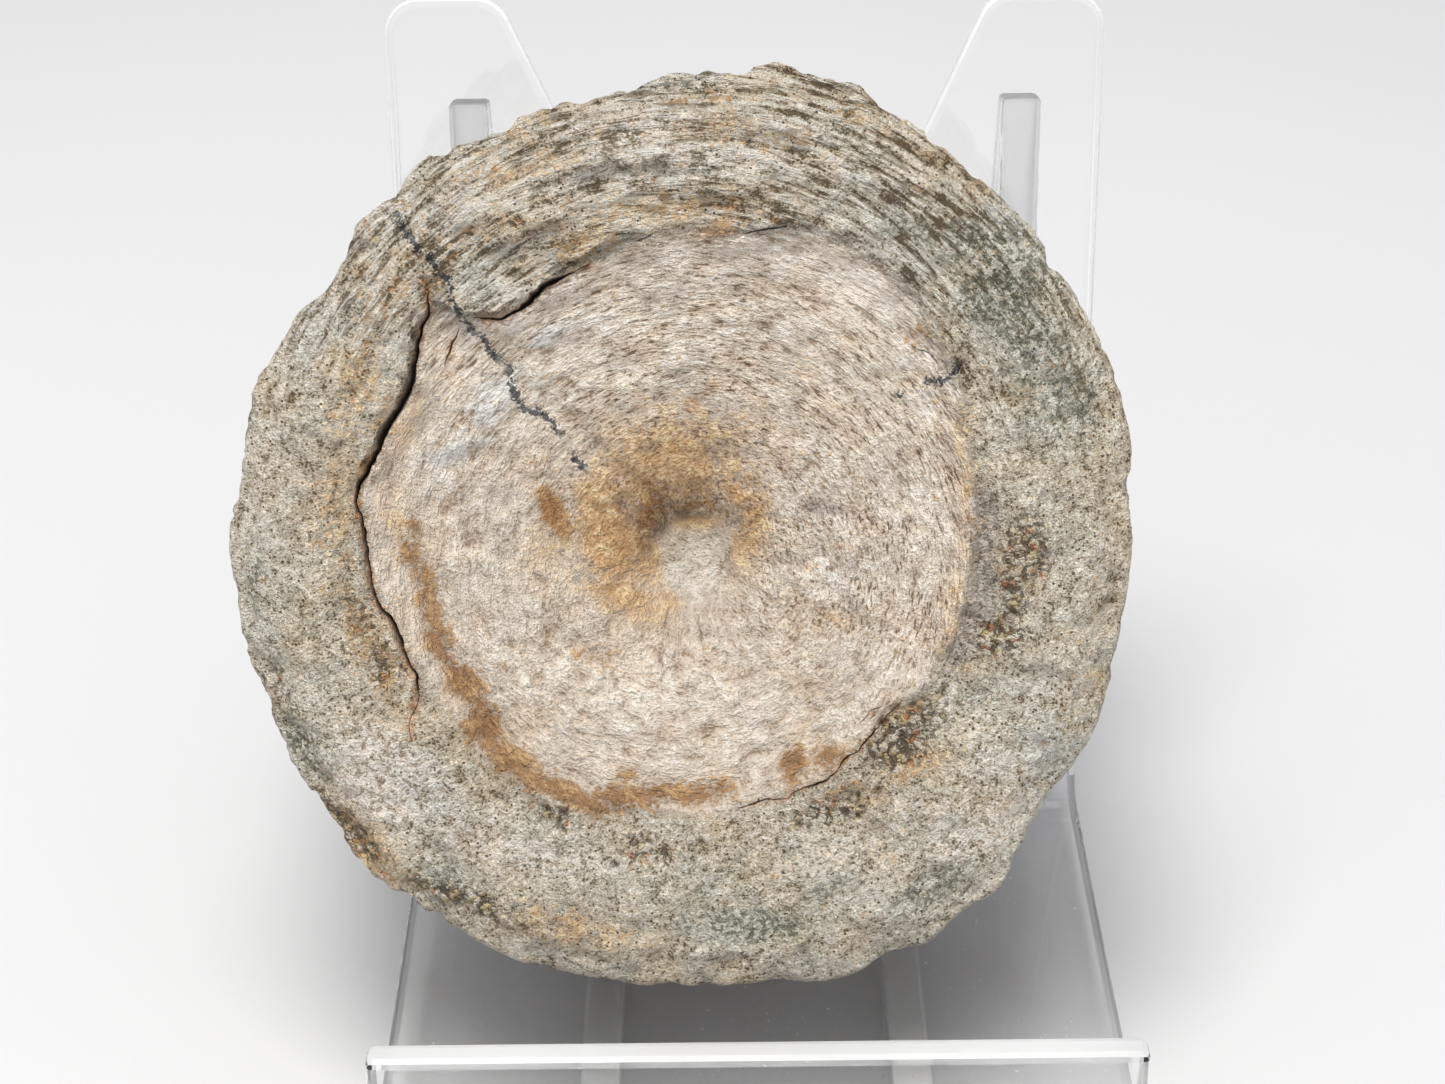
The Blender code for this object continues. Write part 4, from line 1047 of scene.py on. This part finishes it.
def bone_material():
    g = Graph("fossil_bone")
    place = g.read("place", "Vector")
    past_edge = g.read("past_edge")
    wall = g.read("wall")
    cloud = g.noise(place, 0.13, 4.0, 0.6)
    veil = g.noise(g.vector("ADD", place, (31.0, 17.0, 5.0)), 0.2, 4.0, 0.6)
    mottle = g.noise(place, 0.5, 5.0, 0.65)
    grain = g.noise(place, 1.7, 4.0, 0.65)
    fine = g.noise(place, 4.5, 2.0, 0.6)
    push = g.vector("SUBTRACT", g.noise(place, 1.1, 2.0, 0.6, output="Color"), (0.5, 0.5, 0.5))
    bent = g.vector("ADD", place, g.vector("MULTIPLY", push, (1.6, 1.6, 1.6)))
    nodule = g.cells(bent, 1.2)
    crumb = g.part(g.cells(bent, 2.3, "Color"), "X")
    crumb_edge = g.cells(bent, 2.3)
    pore = g.ramp(g.cells(place, 1.35), 0.20, 0.12) * g.ramp(veil, 0.42, 0.54)
    from_pit = g.length(g.flat(place, PIT_CENTRE))
    outside_pit = g.ramp(from_pit, 3.6, 6.0)
    in_pit = g.ramp(from_pit, 5.5, 3.5)
    streak = (g.noise(g.wound(place, 8.0, 0.8, PIT_CENTRE), 1.0, 4.0, 0.62, 0.6) - 0.5) * outside_pit
    fibre = g.noise(g.wound(place, 22.0, 3.6, PIT_CENTRE), 1.0, 2.0, 0.6, 0.5)
    lines = g.noise(g.wound(place, 10.0, 1.6), 1.0, 4.0, 0.62, 0.4)
    threads = g.noise(g.wound(place, 8.0, 1.15), 1.0, 3.0, 0.6, 0.6)
    bands = g.noise(g.wound(place, 3.2, 0.36), 1.0, 3.0, 0.55, 0.6)
    top = g.ramp(g.part(place, "Y"), 4.0, 30.0, 0.25, 1.6)
    toward = g.part(place, "X") * 0.7 + g.part(place, "Y")
    calm = 1.0 - g.ramp(g.read("pale"), 0.1, 1.0, 0.0, 0.8)
    right = g.ramp(toward, -14.0, 8.0, 0.2, 1.0) * calm
    on_ring = g.ramp(past_edge + (mottle - 0.5) * 3.0 + (grain - 0.5) * 2.0, -0.7, 0.7)
    in_dish = 1.0 - on_ring

    # light and dark at each place, around one half
    dash = g.ramp(fibre, 0.39, 0.35) * g.ramp(veil, 0.42, 0.54) * (right * outside_pit)
    # Dark crease lines at the ring's top: painted shade in the creases
    shaded_crease = g.ramp(threads, 0.45, 0.38) * g.ramp(top, 0.6, 1.4) * on_ring
    dish_value = (0.54 + streak * 1.1 + (grain - 0.5) * 0.3 + (fine - 0.5) * 0.5 + (mottle - 0.5) * 0.6
                  + (fibre - 0.5) * 0.9 * outside_pit * right
                  + ((mottle - 0.46) * 0.7 + (grain - 0.5) * 0.6) * in_pit)
    # At the ring's top the lines term is partly the lines' own colour and partly painted light and shade on
    # them
    ring_value = (0.56 + (grain - 0.5) * 0.8 + (fine - 0.5) + (mottle - 0.5) * 0.7
                  + (lines - 0.48) * 1.4 * top - (nodule - 0.45) * 0.3 - pore * 0.8
                  + (bands - 0.5) * 0.65 * top)
    value = dish_value * in_dish + ring_value * on_ring
    dish = graded(g, value, *DISH_TONES)
    dish = g.mix(g.ramp(veil, 0.44, 0.64, 0.0, 0.6), dish, graded(g, value, *DISH_WARM))
    dish = g.mix(dash * 0.8, dish, tone(*DASH_TONE))
    ring = graded(g, value, *RING_TONES)
    ring = g.mix(g.ramp(cloud, 0.46, 0.64, 0.0, 0.75), ring, graded(g, value, *RING_WARM))
    ring = g.mix(g.ramp(veil, 0.50, 0.36, 0.0, 0.5), ring, graded(g, value, *RING_COOL))
    # painted shade in the creases at the ring's top
    ring = g.mix(shaded_crease * 0.65, ring, tone(*CREASE_SHADE_TONE))
    colour = g.mix(on_ring, dish, ring)
    colour = g.mix(wall * 0.35, colour, tone(*WALL_TONE))
    blotch = ((mottle - 0.5) * 1.7 + (grain - 0.5) * 1.3 + (fine - 0.5) * 0.6
              + (crumb - 0.5) * 0.35 * on_ring + streak * 1.6 * in_dish)
    rich = value + (crumb - 0.5) * 0.7 * on_ring

    # Lays one kind of patch over the colour; most are stains, some patches in the pale, grey, brown and dark
    # lists are painted light and shade
    def lay_patch(name):
        nonlocal colour
        low, high, most, *tones = PATCH_LOOKS[name]
        share = g.ramp(g.read(name) + blotch, low, high, 0.0, most)
        colour = g.mix(share, colour, graded(g, rich, *tones))
        return share

    lay_patch("pale")
    mossy = lay_patch("green")
    worn = g.noise(g.wound(place, 26.0, 1.5), 1.0, 5.0, 0.7, 0.8)
    apart = g.cells(bent, 1.5)
    gap = g.ramp(worn + (apart - 0.5) * 0.5 + (fine - 0.5) * 0.3, 0.54, 0.59)
    colour = g.mix(mossy * 1.75 * gap, colour, graded(g, grain, *MOSS_TONES))
    lay_patch("cool")
    lay_patch("grey")
    tan = lay_patch("ochre")
    umber = lay_patch("brown")
    dark_share = lay_patch("dark_patches")
    specked = g.math("MAXIMUM", dark_share, g.math("MAXIMUM", tan, umber)) * on_ring
    for low, high, most, look in SPECKS:
        colour = g.mix(g.ramp(crumb, low, high, 0.0, most) * specked, colour, tone(*look))
    lay_patch("rust")
    loose = g.ramp(g.read("crumbly") + (mottle - 0.5) * 1.6 + (grain - 0.5) * 0.8, 0.30, 0.75) * on_ring
    kind = g.part(g.cells(bent, 1.5, "Color"), "X")
    bit = g.mix(g.ramp(kind, 0.28, 0.34), tone(*FIRST_BIT), colour)
    for low, high, look in BITS:
        bit = g.mix(g.ramp(kind, low, high), bit, tone(*look))
    colour = g.mix(loose * 0.75, colour, bit)
    colour = g.mix(loose * 0.85 * g.ramp(apart, 0.50, 0.64), colour, tone(*GAP_TONE))
    side = g.read("crack_side") + (grain - 0.5) * 2.0
    colour = g.mix(g.ramp(side, 0.45, 1.15, 0.0, 0.75), colour, graded(g, value, *CRACK_SIDE_TONES))
    away = abs(g.read("vein")) + (grain - 0.5) * 1.9 + (fine - 0.5) * 0.9 + (mottle - 0.5) * 1.2
    vein = g.ramp(away, 0.38, 0.16) * g.read("beside_vein")
    colour = g.mix(vein * 0.92, colour, graded(g, value, *VEIN_TONES))
    # The cracks' insides get painted shade
    g.look("Base Color", g.mix(g.read("crack_shade"), colour, tone(*CRACK_SHADE_TONE)))

    g.look("Roughness", g.ramp(fine + (grain - 0.5), 0.40, 0.68, 0.72, 0.26))
    g.look("Specular IOR Level", 0.5)
    dish_height = (streak * 1.5 + fibre * 0.6 * outside_pit + grain * 0.6 + fine * 0.35 - dash * 0.25
                   + mottle + grain * in_pit)
    ring_height = (mottle * 1.2 - apart * mossy * 1.2 + grain * 1.5 + fine * 0.8 + lines * 1.5 * top
                   - shaded_crease * 0.45 - nodule * 0.25 - mossy * gap * 0.8 - pore * 0.35
                   - crumb_edge * 0.25 - loose * apart * 1.6)
    g.bumps(dish_height * in_dish + ring_height * on_ring, BUMP_DEPTH)
    return g.material


def clear_material(name, smudge, haze):
    """Clear sheet; its cut edges are duller than its faces."""
    g = Graph(name)
    g.look("Base Color", (1.0, 1.0, 1.0))
    g.look("IOR", 1.49)
    place = g.add("TexCoord", output="Object")
    marks = g.noise(place, 90.0, 4.0, 0.6)
    dust = g.noise(place, 1800.0, 2.0, 0.6)
    edge = g.read("cut_edge")
    rough = g.ramp(marks, 0.5, 0.75, 0.015, smudge) + g.ramp(dust, 0.66, 0.74, 0.0, 0.25)
    g.look("Roughness", g.math("MAXIMUM", rough, edge * 0.45))
    g.look("Transmission Weight", 1.0 - edge * haze)
    g.bumps(g.noise(place, 25.0, 2.0, 0.5), 0.03 * MM)
    absorb = g.add("VolumeAbsorption", SHEET_TINT, SHEET_DENSITY)
    g.put(g.tree.nodes["Material Output"].inputs["Volume"], absorb)
    return g.material


def mark_cut_edges(node, is_panel):
    """Mark the faces where the sheet was cut: those that don't lie along its bent surface."""
    mesh = node.data
    turn = node.matrix_world.to_3x3()
    cut = []
    for face in mesh.polygons:
        normal = (turn @ face.normal).normalized()
        place = node.matrix_world @ face.center
        across = abs(normal.x) > 0.35 and place.z > LIP_FOOT
        if is_panel and place.z > PRONG_FOOT:
            across = abs(normal.dot(PANEL_NORMAL)) < 0.8
        elif is_panel and place.y < LIP_INSIDE and place.z > LIP_FOOT:
            across = normal.z > 0.5
        if not is_panel:
            across = abs(normal.x) < 0.5
        cut.append(1.0 if across else 0.0)
    layer = mesh.attributes.new("cut_edge", "FLOAT", "FACE")
    layer.data.foreach_set("value", cut)


def dress_stand():
    for name, smudge, haze in (("stand_panel", 0.10, EDGE_HAZE), ("rear_leg_left", 0.14, 0.12),
                               ("rear_leg_right", 0.12, 0.12), ("shelf_rail_left", 0.16, EDGE_HAZE),
                               ("shelf_rail_right", 0.13, EDGE_HAZE)):
        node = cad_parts[name]
        mark_cut_edges(node, name == "stand_panel")
        node.data.materials.clear()
        node.data.materials.append(clear_material(name + "_clear", smudge, haze))


def floor_material():
    g = Graph("pale_floor")
    place = g.add("TexCoord", output="Object")
    cloud = g.noise(place, 6.0, 3.0, 0.5)
    g.look("Base Color", g.mix(cloud, tone(197, 197, 198), tone(202, 202, 203)))
    g.look("Roughness", 0.6)
    g.bumps(g.noise(place, 900.0, 2.0, 0.5), 0.02 * MM)
    return g.material


def build_floor():
    mesh = bpy.data.meshes.new("floor")
    corners = [(x, y, FLOOR_LEVEL) for x, y in ((-3, -3), (3, -3), (3, 3), (-3, 3))]
    mesh.from_pydata(corners, [], [(0, 1, 2, 3)])
    floor = new_object("floor", mesh)
    mesh.materials.append(floor_material())


def add_light(name, place, target, size, watts, colour):
    data = bpy.data.lights.new(name, "AREA")
    data.shape = "RECTANGLE"
    data.size, data.size_y = size
    data.energy = watts
    data.color = colour
    lamp = new_object(name, data)
    lamp.location = place
    lamp.rotation_euler = (Vector(target) - Vector(place)).to_track_quat("-Z", "Y").to_euler()


def build_lights():
    world = bpy.data.worlds.new("soft_room")
    world.use_nodes = True
    tree = world.node_tree
    back = tree.nodes["Background"]
    way = tree.nodes.new("ShaderNodeTexCoord").outputs["Generated"]
    split = tree.nodes.new("ShaderNodeSeparateXYZ")
    tree.links.new(way, split.inputs[0])
    fade = tree.nodes.new("ShaderNodeMapRange")
    for name, value in (("From Min", -0.4), ("From Max", 0.9), ("To Min", FRONT_GLOW), ("To Max", BACK_GLOW)):
        fade.inputs[name].default_value = value
    tree.links.new(split.outputs["Y"], fade.inputs["Value"])
    tree.links.new(fade.outputs[0], back.inputs["Strength"])
    back.inputs["Color"].default_value = (0.97, 0.98, 1.0, 1.0)
    bpy.context.scene.world = world
    add_light("key", KEY_PLACE, MIDDLE, KEY_SIZE, KEY_WATTS, KEY_TINT)


def build_camera(corner):
    data = bpy.data.cameras.new("camera")
    data.sensor_width = SENSOR
    data.lens = LENS
    data.clip_start = 0.01
    camera = new_object("camera", data)
    turn = Matrix.Rotation(pi / 2 - CAMERA_DOWN, 4, "X") @ Matrix.Rotation(CAMERA_ROLL, 4, "Z")
    camera.matrix_world = Matrix.Translation(corner + CAMERA_PLACE * MM) @ turn
    bpy.context.scene.camera = camera


def easel_corner():
    """Point on the table under the corner where the easel's back meets its shelf."""
    low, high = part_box("stand_panel")
    return Vector(((low.x + high.x) / 2, low.y + SHELF_DEPTH * MM, 0.0))


corner = easel_corner()
build_camera(corner)
build_floor()
build_lights()
dress_stand()
build_vertebra(corner)
bpy.context.scene.view_settings.view_transform = "Standard"
bpy.context.scene.view_settings.exposure = EXPOSURE
bpy.context.scene.cycles.max_bounces = LIGHT_BOUNCES
bpy.context.scene.cycles.glossy_bounces = LIGHT_BOUNCES
bpy.context.scene.cycles.transmission_bounces = LIGHT_BOUNCES
